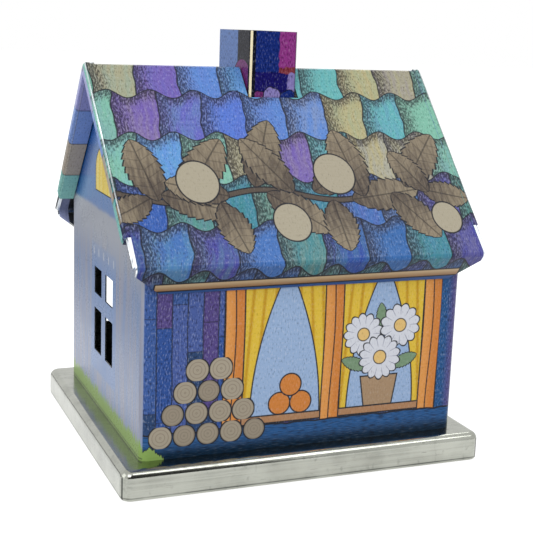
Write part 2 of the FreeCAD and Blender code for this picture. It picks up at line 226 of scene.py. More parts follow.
# %% [markdown]
# ## Textures, layers and groups
#
# These helpers add the few other nodes that the prints need: noise, a random value for each tile or
# plank, a palette and a layer of ink over another. An effect that several sheets share is built once as
# a node group with named sockets, as one would for a library of finishes. The other way, copying the
# nodes into each material, would leave several versions to keep alike.

# %% Node helpers
SMOOTH = 1.0
EVEN = 2.0
FINE = 3.0
# A Mix node has sockets for every kind of data. These are its factor and those for colours.
MIX_FACTOR = 0
MIX_UNDER = 6
MIX_OVER = 7
MIX_COLOUR = 2


def point(tree, across, up, along=0.0):
    node = tree.nodes.new("ShaderNodeCombineXYZ")
    for socket, value in zip(node.inputs, (across, up, along)):
        feed(tree, socket, value)
    return Signal(tree, node.outputs[0])


def noise(tree, place, detail=EVEN):
    """Cloudy noise, whose blots are about one step of the place wide."""
    node = tree.nodes.new("ShaderNodeTexNoise")
    for name, value in (("Vector", place), ("Scale", 1.0), ("Detail", detail)):
        feed(tree, node.inputs[name], value)
    return Signal(tree, node.outputs[0])


def chance(tree, place):
    """A value from 0 to 1 that is the same all over one tile, plank or patch."""
    node = tree.nodes.new("ShaderNodeTexWhiteNoise")
    feed(tree, node.inputs["Vector"], place)
    return Signal(tree, node.outputs["Value"])


def palette(tree, value, colours):
    """Picks one of the colours, each as likely as the next, for a value from 0 to 1."""
    node = tree.nodes.new("ShaderNodeValToRGB")
    ramp = node.color_ramp
    ramp.interpolation = "CONSTANT"
    while len(ramp.elements) < len(colours):
        ramp.elements.new(1.0)
    for index, colour in enumerate(colours):
        ramp.elements[index].position = index / len(colours)
        ramp.elements[index].color = colour
    feed(tree, node.inputs["Fac"], value)
    return Signal(tree, node.outputs["Color"])


def lay(under, over, mask, way="MIX"):
    """One ink laid over another where the mask is 1. At least one of the three is a Signal."""
    tree = next(item.tree for item in (mask, under, over) if isinstance(item, Signal))
    node = tree.nodes.new("ShaderNodeMix")
    node.data_type = "RGBA"
    node.blend_type = way
    for index, value in ((MIX_FACTOR, mask), (MIX_UNDER, under), (MIX_OVER, over)):
        feed(tree, node.inputs[index], value)
    return Signal(tree, node.outputs[MIX_COLOUR])


def new_group(name, inputs, outputs):
    """An empty node group. Returns its tree, its inputs as Signals and its output node."""
    tree = bpy.data.node_groups.new(name, "ShaderNodeTree")
    for label in inputs:
        tree.interface.new_socket(label, in_out="INPUT", socket_type="NodeSocketFloat")
    for label, kind in outputs.items():
        tree.interface.new_socket(label, in_out="OUTPUT", socket_type="NodeSocket" + kind)
    start = tree.nodes.new("NodeGroupInput")
    end = tree.nodes.new("NodeGroupOutput")
    return tree, [Signal(tree, start.outputs[label]) for label in inputs], end


def place_group(tree, group, *values):
    """Puts a group into a tree with its inputs in order. Returns its outputs by name."""
    node = tree.nodes.new("ShaderNodeGroup")
    node.node_tree = group
    for socket, value in zip(node.inputs, values):
        feed(tree, socket, value)
    return {socket.name: Signal(tree, socket) for socket in node.outputs}


print("noise detail:", SMOOTH, EVEN, FINE)

# %% [markdown]
# ## Pencil grain
#
# All of the ink on this box looks like coloured pencil on toothy paper: short upright strokes that lie
# closer together where the drawing is in shade, bright specks where the paper shows through, and slower
# streaks down a whole tile or plank. A scan of real pencil would need an image, and noise stretched along
# the stroke gives all three at any size. A stroke is drawn where the noise passes a threshold, and the
# Density input moves that threshold.

# %% Pencil grain group
STROKE_WIDTH = 0.40
STROKE_LENGTH = 1.05
STROKE_CONTRAST = (0.25, 0.75)
STREAK_WIDTH = 1.7
STREAK_LENGTH = 11.0
STREAK_LAYER = 5.0
STREAK_CONTRAST = (0.3, 0.7)
HATCH_EDGE = (0.74, 1.30)
TOOTH_EDGE = (0.02, 0.34)


def make_pencil_grain():
    outputs = {"Hatch": "Float", "Tooth": "Float", "Streak": "Float"}
    tree, (across, up, density), end = new_group("pencil_grain", ("Across", "Up", "Density"), outputs)
    stroke_place = point(tree, across / STROKE_WIDTH, up / STROKE_LENGTH)
    strokes = noise(tree, stroke_place, FINE).rise(*STROKE_CONTRAST)
    streak_place = point(tree, across / STREAK_WIDTH, up / STREAK_LENGTH, STREAK_LAYER)
    feed(tree, end.inputs["Hatch"], (strokes + density).rise(*HATCH_EDGE))
    feed(tree, end.inputs["Tooth"], strokes.fall(*TOOTH_EDGE))
    feed(tree, end.inputs["Streak"], noise(tree, streak_place).rise(*STREAK_CONTRAST))
    return tree


PENCIL_GRAIN = make_pencil_grain()
print("strokes of", STROKE_WIDTH, "x", STROKE_LENGTH, "mm")

# %% Drawing with the pencil
STROKE_TINT = paint(104, 100, 112)
PAPER = paint(222, 226, 232)
STROKE_DEPTH = 0.85
PAPER_TOOTH = 0.16


def draw_pencil(tree, colour, across, up, density, depth=STROKE_DEPTH, tooth=PAPER_TOOTH):
    """Draws strokes over a colour. Density from 0 to 1 is how much of it they cover."""
    grain = place_group(tree, PENCIL_GRAIN, across, up, density)
    pale = lay(colour, PAPER, grain["Tooth"] * tooth)
    return lay(pale, STROKE_TINT, grain["Hatch"] * depth, "MULTIPLY")


def streaks(tree, across, up):
    return place_group(tree, PENCIL_GRAIN, across, up, 0.0)["Streak"]


print("groups:", [group.name for group in bpy.data.node_groups])

# %% [markdown]
# ## Handling marks on tin
#
# Tinplate is bright, but it is never a mirror: rolling leaves faint long streaks, handling leaves fine
# scratches, and the coating has a cloudy bloom. Modelled scratches would be lost at this size, so three
# stretched noises stand for them. The group gives a haze for the roughness and a height for the bump,
# and both the bare tin and the printed sheets use it with values of their own.

# %% Tin wear group
CLOUD_SIZE = 9.0
ROLL_LENGTH = 26.0
ROLL_WIDTH = 0.5
SCRATCH_LENGTH = 9.0
SCRATCH_WIDTH = 0.22
SCRATCH_EDGE = (0.70, 0.78)
CLOUD_HAZE = 0.6
ROLL_HAZE = 0.4
SCRATCH_HAZE = 0.35
ROLL_HEIGHT = 0.03
SCRATCH_DEPTH = 0.05


def make_tin_wear():
    tree, (x, y, z), end = new_group("tin_wear", ("X", "Y", "Z"), {"Haze": "Float", "Height": "Float"})
    cloud = noise(tree, point(tree, x / CLOUD_SIZE, y / CLOUD_SIZE, z / CLOUD_SIZE), FINE)
    rolled = noise(tree, point(tree, x / ROLL_LENGTH, y / ROLL_WIDTH, z / ROLL_WIDTH))
    marks = point(tree, (x + z) / SCRATCH_LENGTH, (y - z) / SCRATCH_WIDTH, (x - y) / SCRATCH_LENGTH)
    scratches = noise(tree, marks, SMOOTH).rise(*SCRATCH_EDGE)
    haze = cloud * CLOUD_HAZE + rolled * ROLL_HAZE + scratches * SCRATCH_HAZE
    feed(tree, end.inputs["Haze"], haze)
    feed(tree, end.inputs["Height"], cloud + rolled * ROLL_HEIGHT - scratches * SCRATCH_DEPTH)
    return tree


TIN_WEAR = make_tin_wear()
print("groups:", [group.name for group in bpy.data.node_groups])

# %% Finish helpers
MM = 1000.0


def new_finish(name):
    """A material with one Principled shader. Returns the material, its tree and the shader."""
    material = bpy.data.materials.new(name)
    material.use_nodes = True
    tree = material.node_tree
    return material, tree, tree.nodes["Principled BSDF"]


def sheet_place(tree):
    """The point in millimetres and the outward direction, both in the part's own frame."""
    where = tree.nodes.new("ShaderNodeTexCoord")
    scaled = tree.nodes.new("ShaderNodeVectorMath")
    scaled.operation = "SCALE"
    scaled.inputs["Scale"].default_value = MM
    tree.links.new(where.outputs["Object"], scaled.inputs[0])
    split = []
    for source in (scaled.outputs[0], where.outputs["Normal"]):
        node = tree.nodes.new("ShaderNodeSeparateXYZ")
        tree.links.new(source, node.inputs[0])
        split.extend(Signal(tree, socket) for socket in node.outputs)
    return split


def bump(tree, shader, height, depth):
    node = tree.nodes.new("ShaderNodeBump")
    node.inputs["Strength"].default_value = 1.0
    node.inputs["Distance"].default_value = depth / MM
    feed(tree, node.inputs["Height"], height)
    tree.links.new(node.outputs[0], shader.inputs["Normal"])


print("finishes are drawn at", MM, "steps to the metre")

# %% [markdown]
# ## Bare tinplate
#
# The tray and its collar have no ink. One grey metal with one roughness would do from afar, but close by
# the skirt is never one flat tone. So the haze makes some patches duller than others, smudges lie over
# it, a painted dark reflection runs down each corner where the metal was drawn in, and a thin line marks
# the hem.

# %% Tinplate
TIN = paint(174, 176, 167)
TIN_HAZE = paint(144, 146, 138)
HAZE_PATCHES = (0.35, 0.80)
SMUDGE = paint(112, 114, 108)
SMUDGE_WIDTH = 2.0
SMUDGE_HEIGHT = 2.6
SMUDGE_EDGE = (0.58, 0.80)
SMUDGE_WEIGHT = 0.5
# Dark ink for the painted reflection down the tray's corners, and for the line along the hem.
DARK_REFLECTION_AND_HEM_LINE = paint(38, 40, 38)
REFLECTION_SLANT_LEFT = 0.5
REFLECTION_SLANT_RIGHT = 1.2
REFLECTION_WIDTH = 1.1
REFLECTION_SOFT = 0.18
REFLECTION_START = (0.5, 1.0)
CORNER_RADIUS = 3.0
TRAY_X, TRAY_Y, TRAY_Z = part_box("base_tray")[1] * MM
REFLECTION_TOP = (TRAY_Z - 2.2, TRAY_Z - 1.2)
LEFT_TO_RIGHT = (-1.0, 1.0)
HEM_Z = 1.0
HEM_WIDTH = 0.34
HEM_SOFT = 0.14
HEM_PATCHES = (0.2, 0.6)
HEM_WEIGHT = 0.75
TIN_ROUGHNESS = 0.05
TIN_DULLING = 0.20
TIN_BUMP = 0.05


def draw_corner_reflection(x, y, z):
    """A painted dark reflection down each tray corner, turned a little more to the front on the right."""
    past_x = abs(x) - (TRAY_X - CORNER_RADIUS)
    past_y = abs(y) - (TRAY_Y - CORNER_RADIUS)
    slant = x.rise(*LEFT_TO_RIGHT) * (REFLECTION_SLANT_RIGHT - REFLECTION_SLANT_LEFT) + REFLECTION_SLANT_LEFT
    reflection = (past_y - past_x * slant).line(slant * REFLECTION_WIDTH, REFLECTION_SOFT)
    return reflection * past_x.rise(*REFLECTION_START) * z.fall(*REFLECTION_TOP)


def make_tinplate():
    material, tree, shader = new_finish("bare_tinplate")
    x, y, z, *_ = sheet_place(tree)
    wear = place_group(tree, TIN_WEAR, x, y, z)
    metal = lay(TIN, TIN_HAZE, wear["Haze"].rise(*HAZE_PATCHES))
    smudge_place = point(tree, x / SMUDGE_WIDTH, y / SMUDGE_WIDTH, z / SMUDGE_HEIGHT)
    smudges = noise(tree, smudge_place, FINE).rise(*SMUDGE_EDGE)
    metal = lay(metal, SMUDGE, smudges * SMUDGE_WEIGHT)
    # Painted dark reflection: a dark line down each corner of the tray.
    metal = lay(metal, DARK_REFLECTION_AND_HEM_LINE, draw_corner_reflection(x, y, z))
    hem = (z - HEM_Z).line(HEM_WIDTH, HEM_SOFT) * wear["Haze"].rise(*HEM_PATCHES)
    metal = lay(metal, DARK_REFLECTION_AND_HEM_LINE, hem * HEM_WEIGHT)
    feed(tree, shader.inputs["Base Color"], metal)
    feed(tree, shader.inputs["Roughness"], wear["Haze"] * TIN_DULLING + TIN_ROUGHNESS)
    shader.inputs["Metallic"].default_value = 1.0
    bump(tree, shader, wear["Height"], TIN_BUMP)
    return material


TINPLATE = make_tinplate()
print("made", TINPLATE.name, "for a tray of", round(TRAY_X * 2, 1), "x", round(TRAY_Y * 2, 1), "mm")

# %% [markdown]
# ## Printed sheets
#
# A printed sheet is ink on its outer face and bare tin on its inner face and cut edges. Two materials
# would need the sheet's mesh split along the edges. One shader can hold both: a mask says where the ink
# is, and it mixes the colours and switches the metal off under the ink.

# %% Printed sheet finish
INNER_TIN = paint(128, 130, 130)
WORN_TIN = paint(232, 238, 244)
PRINT_GLOSS = 0.2
PRINT_ROUGHNESS = 0.20
PRINT_DULLING = 0.16
PRINT_BUMP = 0.03
FACING = (0.2, 0.4)


def finish_print(tree, shader, place, ink, printed, bare=INNER_TIN, gloss=PRINT_GLOSS):
    """Joins the ink with bare tin where the sheet is not printed."""
    wear = place_group(tree, TIN_WEAR, *place)
    feed(tree, shader.inputs["Base Color"], lay(bare, ink, printed))
    feed(tree, shader.inputs["Metallic"], 1.0 - printed)
    feed(tree, shader.inputs["Roughness"], wear["Haze"] * PRINT_DULLING + PRINT_ROUGHNESS)
    shader.inputs["Specular IOR Level"].default_value = gloss
    bump(tree, shader, wear["Height"], PRINT_BUMP)


print("ink gloss", PRINT_GLOSS, "and roughness from", PRINT_ROUGHNESS)

# %% [markdown]
# ## Stamps
#
# Drawn shapes could be thin decals laid on the sheet, but ink has no thickness, and decals would flicker
# against the tin. So a drawn shape is a gap: the distance from a point to the shape's outline, above zero
# inside. A stamp fills the inside and draws a dark line where the gap is nearly nothing. Rectangles and
# ovals are short sums. Leaves and blooms come up many times, so they are groups.

# %% Shapes and stamps
INK = paint(22, 24, 34)
OUTLINE = 0.42
THIN_LINE = 0.3
SOFT = 0.13


def slab(value, low, high):
    return (value - low).smaller(high - value)


def panel(across, up, left, right, foot, top):
    return slab(across, left, right).smaller(slab(up, foot, top))


def oval(across, up, middle, level, half_width, half_height):
    away = away_from((across - middle) / half_width, (up - level) / half_height)
    return (1.0 - away) * min(half_width, half_height)


def inside(gap):
    return gap.rise(-SOFT, SOFT)


def stamp(ink, gap, colour, outline=OUTLINE):
    filled = lay(ink, colour, inside(gap))
    return lay(filled, INK, gap.line(outline, SOFT))


print("outlines are", OUTLINE, "mm wide")

# %% Leaf group
LEAF_FULLNESS = 0.7
LEAF_TEETH = 9.0
TEETH_DEPTH = 0.15
TIP_STEEPNESS = 3.0
LEAF_TRIM = 0.05
SIDE_VEINS = 7.0
VEIN_SLANT = 1.6
VEIN_LINE = (0.10, 0.05)
RIB_LINE = (0.45, 0.12)
SIDE_VEIN_WEIGHT = 0.6


def make_leaf():
    labels = ("Across", "Up", "Stem Across", "Stem Up", "Turn", "Length", "Width")
    tree, inputs, end = new_group("leaf", labels, {"Gap": "Float", "Vein": "Float", "Along": "Float"})
    across, up, stem_across, stem_up, turn, length, width = inputs
    right = across - stem_across
    above = up - stem_up
    cosine = turn.math("COSINE")
    sine = turn.sine()
    along = (right * cosine + above * sine) / length
    aside = abs(above * cosine - right * sine)
    swell = (along * (1.0 - along) * 4.0).larger(0.0).power(LEAF_FULLNESS)
    teeth = 1.0 - (along * LEAF_TEETH - aside / width).part() * TEETH_DEPTH
    past_ends = (abs(along - 0.5) - 0.5).larger(0.0) * length
    gap = swell * teeth * width * 0.5 - aside - past_ends * TIP_STEEPNESS - LEAF_TRIM
    veins = ((along * SIDE_VEINS - aside / width * VEIN_SLANT).part() - 0.5).line(*VEIN_LINE)
    feed(tree, end.inputs["Gap"], gap)
    feed(tree, end.inputs["Vein"], aside.line(*RIB_LINE).larger(veins * SIDE_VEIN_WEIGHT))
    feed(tree, end.inputs["Along"], along)
    return tree


LEAF = make_leaf()
print("a leaf has", SIDE_VEINS, "pairs of veins")

# %% Bloom group
SCALLOP = 0.16
PETAL_CREASE = (0.05, 0.22)
CREASE_REACH = (0.4, 0.6)
HEART_SHARE = 0.30


def make_bloom():
    labels = ("Across", "Up", "Middle", "Level", "Radius", "Petals")
    outputs = {"Gap": "Float", "Heart": "Float", "Crease": "Float"}
    tree, inputs, end = new_group("bloom", labels, outputs)
    across, up, middle, level, radius, petals = inputs
    right = across - middle
    above = up - level
    away = away_from(right, above)
    petal = abs((above.math("ARCTAN2", right) * petals * 0.5).sine())
    scallop = petal * SCALLOP + (1.0 - SCALLOP)
    feed(tree, end.inputs["Crease"], petal.fall(*PETAL_CREASE) * (away / radius).rise(*CREASE_REACH))
    feed(tree, end.inputs["Gap"], radius * scallop - away)
    feed(tree, end.inputs["Heart"], radius * HEART_SHARE - away)
    return tree


BLOOM = make_bloom()
print("groups:", [group.name for group in bpy.data.node_groups])

# %% [markdown]
# ## Roof tiles
#
# The roof print has rows of tiles, each with a wavy lower edge that laps over the row below. A brick
# texture has straight rows, so the sum is written out: find the nearest row edge, bend it with a wave of
# one tile's length, and see on which side of it the point lies. The column then follows from the row.

# %% Roof tile sizes
ROW = 15.0
FIRST_ROW = 11.5
TILE = 12.6
LEAN = -0.08
WAVE = 1.5
ROW_SHIFT = 0.43
WAVE_START = 0.55
SWAY_LENGTH = 22.0
SWAY_DEPTH = 9.0
SWAY = 3.2
UPPER_ROWS = 2.5
UPPER_TILES = (
    paint(110, 178, 164), paint(178, 168, 124), paint(98, 100, 186), paint(96, 146, 214),
    paint(126, 186, 164), paint(112, 92, 172), paint(84, 120, 208), paint(164, 160, 130),
    paint(98, 176, 180), paint(90, 134, 206))
LOWER_TILES = (
    paint(46, 86, 166), paint(60, 132, 142), paint(42, 74, 158), paint(70, 70, 154),
    paint(64, 110, 178), paint(46, 98, 162), paint(82, 144, 136), paint(54, 60, 144))
print("tile:", TILE, "x", ROW, "mm in", len(UPPER_TILES) + len(LOWER_TILES), "inks")

# %% Roof tile group
INK_LAYER = 6.0
STREAK_INK_LAYER = 3.0
STREAK_INK = 0.22
LEFT_SHADE = (0.0, 0.55)
LAP_EDGE = (-0.2, 0.0)
LAP_SHADE = (0.4, 5.0)
TILE_SHADE = paint(92, 88, 92)
SHADE_WEIGHT = 0.42
SHADE_STROKES = 0.54
LIGHT_STROKES = 0.12
TILE_LINE = 0.9


def tile_column(across, row):
    return across / TILE - row * ROW_SHIFT


def make_roof_tiles():
    tree, (x, down), end = new_group("roof_tiles", ("Across", "Down"), {"Color": "Color"})
    sway = noise(tree, point(tree, x / SWAY_LENGTH, down / SWAY_DEPTH), SMOOTH) * SWAY
    across = x - down * LEAN + sway
    level = down + (ROW - FIRST_ROW)
    edge = (level / ROW + 0.5).floor()
    swing = ((tile_column(across, edge - 1.0) - WAVE_START) * math.tau).sine()
    below_edge = level - edge * ROW - swing * WAVE
    row = edge - below_edge.below(0.0)
    column = tile_column(across, row)
    tone = chance(tree, point(tree, column.floor(), row, INK_LAYER))
    upper = palette(tree, tone, UPPER_TILES)
    ink = lay(palette(tree, tone, LOWER_TILES), upper, row.below(UPPER_ROWS))
    other_tone = chance(tree, point(tree, row, column.floor(), STREAK_INK_LAYER))
    other = palette(tree, other_tone, UPPER_TILES)
    ink = lay(ink, other, streaks(tree, across, down) * STREAK_INK)
    top_shade = below_edge.rise(*LAP_EDGE) * below_edge.fall(*LAP_SHADE)
    shade = column.part().fall(*LEFT_SHADE).larger(top_shade)
    ink = lay(ink, TILE_SHADE, shade * SHADE_WEIGHT)
    ink = draw_pencil(tree, ink, across, down, shade * SHADE_STROKES + LIGHT_STROKES)
    side_lines = (column.to_whole() * TILE).line(OUTLINE, SOFT)
    lines = below_edge.line(OUTLINE, SOFT).larger(side_lines)
    feed(tree, end.inputs["Color"], lay(ink, INK, lines * TILE_LINE))
    return tree


ROOF_TILES = make_roof_tiles()
print("groups:", [group.name for group in bpy.data.node_groups])

# %% [markdown]
# ## Roof print
#
# The roof sheet carries a garland of large brown leaves and pods over the lower rows, a tan pole along the
# eave, and plain tiles that wrap round its sloping edges. A garland could be painted by hand on a UV map.
# Here the leaves are one group placed many times, so each needs only its place, its turn and its size.
# Both slopes carry the same drawing, because the sums use the distance from the ridge.

# %% Roof sizes
WALL_X = 47.4
WALL_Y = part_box("wall_sheet")[1].y * MM
EAVE_OVERHANG = 6.5
EAVE_Y = WALL_Y + EAVE_OVERHANG
EAVE_Z = 61.9
ROOF_RISE = 49.5
RIDGE_Z = EAVE_Z + ROOF_RISE
PITCH = math.atan2(ROOF_RISE, EAVE_Y)
SLOPE = math.hypot(ROOF_RISE, EAVE_Y)
print("slope", round(SLOPE, 1), "mm at", round(math.degrees(PITCH), 1), "degrees")

# %% Garland
LEAF_DARK = paint(84, 74, 66)
LEAF_PALE = paint(140, 128, 108)
POD = paint(168, 160, 140)
VEIN_INK = paint(40, 36, 36)
VEIN_WEIGHT = 0.65
LEAF_FADE = (0.15, 1.0)
FADE_ALONG = 0.75
FADE_STREAK = 0.4
LEAF_STREAKS = 2.0
TWIG_LEVEL = 47.0
TWIG_SWING = 2.0
TWIG_WAVE = 46.0
TWIG_HALF = 0.9
# Each leaf: across, down the slope, turn in degrees, length and width.
GARLAND = (
    (-43.0, 47.0, 150.0, 13.0, 9.0), (-41.0, 48.0, 258.0, 21.0, 11.0), (-40.0, 46.0, 18.0, 20.0, 11.0),
    (-34.0, 48.0, 305.0, 25.0, 12.5), (-24.0, 49.0, 75.0, 17.0, 10.0), (-21.0, 47.0, 196.0, 18.0, 10.5),
    (-13.0, 44.0, 292.0, 25.0, 12.0), (-10.0, 46.0, 40.0, 21.0, 11.5), (-2.0, 46.0, 238.0, 22.0, 11.0),
    (4.0, 46.0, 330.0, 20.0, 11.0), (9.0, 49.0, 88.0, 17.0, 10.5), (15.0, 49.0, 352.0, 22.0, 11.5),
    (19.0, 48.0, 262.0, 24.0, 12.0), (28.0, 47.0, 55.0, 19.0, 11.0), (33.0, 45.0, 308.0, 24.0, 12.0),
    (38.0, 46.0, 15.0, 15.0, 9.5), (40.0, 47.0, 240.0, 17.0, 9.5))
# Each pod: across, down the slope and half its size both ways.
PODS = ((-29.0, 42.0, 6.0, 7.0), (-5.0, 56.0, 5.4, 6.2), (12.0, 40.0, 6.2, 7.0), (43.0, 56.0, 4.6, 5.4))


def draw_garland(tree, ink, x, down):
    twig = down - TWIG_LEVEL - (x / TWIG_WAVE * math.tau).sine() * TWIG_SWING
    ink = stamp(ink, TWIG_HALF - abs(twig), LEAF_DARK)
    streak = streaks(tree, x * LEAF_STREAKS, down * LEAF_STREAKS)
    for across, level, turn, length, width in GARLAND:
        shape = place_group(tree, LEAF, x, down, across, level, math.radians(turn), length, width)
        fade = (shape["Along"] * FADE_ALONG + streak * FADE_STREAK).rise(*LEAF_FADE)
        body = lay(LEAF_DARK, LEAF_PALE, fade)
        body = lay(body, VEIN_INK, shape["Vein"] * VEIN_WEIGHT)
        ink = stamp(ink, shape["Gap"], body)
    for pod in PODS:
        ink = stamp(ink, oval(x, down, *pod), POD)
    return ink


print("garland of", len(GARLAND), "leaves and", len(PODS), "pods")

# %% Pole under the eave
POLE_LOW = 55.0
POLE_HIGH = 57.3
POLE_END = 45.0
POLE_PALE = paint(212, 186, 148)
POLE_DARK = paint(158, 118, 80)
POLE_BOW = 0.35
BOW_LENGTH = 60.0
BAND_BLUE = paint(44, 84, 148)
BAND_SOFT = 0.3


def draw_pole(ink, x, z):
    level = z - (x / BOW_LENGTH).sine() * POLE_BOW
    ink = lay(ink, BAND_BLUE, level.fall(POLE_LOW - BAND_SOFT, POLE_LOW))
    wood = lay(POLE_DARK, POLE_PALE, level.rise(POLE_LOW, POLE_HIGH))
    return stamp(ink, panel(x, level, -POLE_END, POLE_END, POLE_LOW, POLE_HIGH), wood)


print("pole", round(POLE_HIGH - POLE_LOW, 1), "mm thick")

# %% Verge tiles
VERGE_TILES = (
    paint(146, 150, 208), paint(124, 154, 218), paint(176, 166, 154), paint(134, 196, 190),
    paint(136, 144, 180))
VERGE_FIRST = 17.0
VERGE_INK_SHIFT = 1.5
# A pencil is the density, the depth of its strokes and the tooth of the paper.
VERGE_PENCIL = (0.14, 0.6, 0.10)
VERGE_LINE = (0.5, 0.2)
VERGE_LINE_WEIGHT = 0.55


def draw_verge(tree, x, along):
    """Plain tiles, each of one colour, wrapped round the edge of the roof."""
    level = (along - VERGE_FIRST) / ROW
    tone = ((level.floor() + VERGE_INK_SHIFT) / len(VERGE_TILES)).part()
    ink = draw_pencil(tree, palette(tree, tone, VERGE_TILES), x, along, *VERGE_PENCIL)
    return lay(ink, INK, (level.to_whole() * ROW).line(*VERGE_LINE) * VERGE_LINE_WEIGHT)


print("verge tiles in", len(VERGE_TILES), "inks")

# %% [markdown]
# ## Roof finish
#
# On the real roof the ink is worn to bright tin along the bend of each sloping edge, and the lowest
# stretch there is a bare bead. The wear could be painted on the mesh as an attribute, but the sheet's own
# direction already tells where it bends, so masks on the normal and on the distance down the slope find
# the edges, the worn bends and the beads by themselves.

# %% Roof print
CAP_INNER_X = 50.6
BEAD_INNER_X = 50.5
BOX_END = SLOPE - 10.0
EAVE_SOFT = 0.2
PRINTED_BELOW_EAVE = (EAVE_Z - 1.2, EAVE_Z - 0.8)
RETURN_STRETCH = 2.0
CLEAR_OF_WALL = 0.2
FACES_UP = 0.1
GARLAND_PENCIL = (0.06, 0.5, 0.04)
FOLD_LEAN = 0.16
FOLD_LINE = (0.16, 0.05)
FOLD_WEIGHT = 0.6
WORN_LEAN = (0.30, 0.70, 0.10)
PATCH_LENGTH = 9.0
PATCH_EDGE = (0.25, 0.65)
PATCH_WEAR = 0.5
LEAST_WEAR = 0.4


def worn_verge(tree, x, nx, nz, along, side):
    """1 where the bends of the sloping edges and the beads at their feet are bare and bright."""
    patches = noise(tree, point(tree, along / PATCH_LENGTH, side)).rise(*PATCH_EDGE)
    bend = abs(x).past(CAP_INNER_X) * abs(nx).between(*WORN_LEAN) * nz.past(0.0)
    bead = abs(x).past(BEAD_INNER_X) * along.past(BOX_END)
    return (bend * (patches * PATCH_WEAR + LEAST_WEAR)).larger(bead)


def make_roof_print():
    material, tree, shader = new_finish("roof_print")
    x, y, z, nx, ny, nz = sheet_place(tree)
    side = y.sign()
    under_eave = z.fall(EAVE_Z - EAVE_SOFT, EAVE_Z + EAVE_SOFT)
    down = abs(y) * (SLOPE / EAVE_Y) + (EAVE_Z - z).larger(0.0) * RETURN_STRETCH
    tiles = place_group(tree, ROOF_TILES, x, down)["Color"]
    drawn = draw_pencil(tree, draw_garland(tree, tiles, x, down), x, down, *GARLAND_PENCIL)
    drawn = lay(drawn, draw_pole(tiles, x, z), under_eave)
    outward = (ny * side).rise(*FACING)
    overhang = abs(x).past(WALL_X + CLEAR_OF_WALL)
    along = abs(y) * math.cos(PITCH) + (RIDGE_Z - z) * math.sin(PITCH)
    verge = overhang * nz.fall(*FACING).larger(under_eave) * (1.0 - outward)
    drawn = lay(drawn, draw_verge(tree, x, along), verge)
    fold = abs(x).past(CAP_INNER_X) * (abs(nx) - FOLD_LEAN).line(*FOLD_LINE)
    drawn = lay(drawn, INK, fold * FOLD_WEIGHT)
    worn = worn_verge(tree, x, nx, nz, along, side)
    upper_face = z.rise(*PRINTED_BELOW_EAVE) * nz.past(FACES_UP)
    printed = outward.larger(overhang).larger(upper_face) * (1.0 - worn)
    finish_print(tree, shader, (x, y, z), drawn, printed, lay(INNER_TIN, WORN_TIN, worn))
    return material


ROOF_PRINT = make_roof_print()
print("made", ROOF_PRINT.name, "with", len(ROOF_PRINT.node_tree.nodes), "nodes")

# %% [markdown]
# ## Planks
#
# The front and back walls are drawn as upright planks of uneven boards. A brick texture turned on its
# side would give even boards, so here each column of planks slides by a random length before it is cut
# into boards, and each board then picks its own ink.

# %% Plank group
PLANK = 4.3
BOARD = 26.0
PLANK_COLOURS = (
    paint(54, 88, 154), paint(82, 68, 132), paint(70, 92, 158), paint(40, 78, 150), paint(34, 64, 108))
PLANK_PENCIL = (0.24, 0.75, 0.10)
WARP_WIDTH = 30.0
WARP_HEIGHT = 18.0
WARP = 0.9
SLIDE_LAYER = 2.0
PLANK_LINE = 0.34
JOINT_WEIGHT = 0.7
PLANK_LINE_WEIGHT = 0.85


def make_planks():
    tree, (across, up), end = new_group("planks", ("Across", "Up"), {"Color": "Color"})
    warp = noise(tree, point(tree, across / WARP_WIDTH, up / WARP_HEIGHT), SMOOTH) * WARP
    column = (across + warp) / PLANK
    slide = chance(tree, point(tree, column.floor(), SLIDE_LAYER)) * BOARD
    board = (up + slide) / BOARD
    tone = chance(tree, point(tree, column.floor(), board.floor()))
    ink = draw_pencil(tree, palette(tree, tone, PLANK_COLOURS), across, up, *PLANK_PENCIL)
    lines = (column.to_whole() * PLANK).line(PLANK_LINE, SOFT)
    joints = (board.to_whole() * BOARD).line(PLANK_LINE, SOFT) * JOINT_WEIGHT
    feed(tree, end.inputs["Color"], lay(ink, INK, lines.larger(joints) * PLANK_LINE_WEIGHT))
    return tree


PLANKS = make_planks()
print("plank:", PLANK, "mm wide, in boards of", BOARD, "mm")

# %% [markdown]
# ## Gables
#
# Both gables are a pale washed wall. A blue surround frames the punched panes, with a row of ticks along
# its top, a pale band crosses below the attic, an arched attic window glows yellow, and grass grows at
# the foot. Stamps would give each of these a hard outline, which a wash lacks. So all but the window are
# soft masks, laid one over the other from the back to the front.

# %% Gable sizes
WASH_BLUE = paint(124, 146, 184)
WASH_GREY = paint(152, 154, 170)
WASH_STRETCH = 3.0
SURROUND = paint(114, 144, 192)
SURROUND_Y = 14.6
SURROUND_LOW = 19.0
SURROUND_HIGH = 58.0
SURROUND_SOFT = (-0.6, 0.6)
SURROUND_WEIGHT = 0.75
TICKS = 5
TICK_STEP = 5.8
TICK_Z = 55.6
TICK_SLANT = 0.15
TICK_HALF_WIDTH = 0.35
TICK_HALF_HEIGHT = 1.1
BAND_PALE = paint(172, 176, 184)
BAND_IN = (51.5, 67.5)
BAND_OUT = (70.7, 72.3)
BAND_WEIGHT = 0.9
BAND_SWAY = 5.0
BAND_SWAY_LENGTH = 11.0
BAND_LAYER = 1.0
print("surround", SURROUND_Y * 2, "x", SURROUND_HIGH - SURROUND_LOW, "mm")

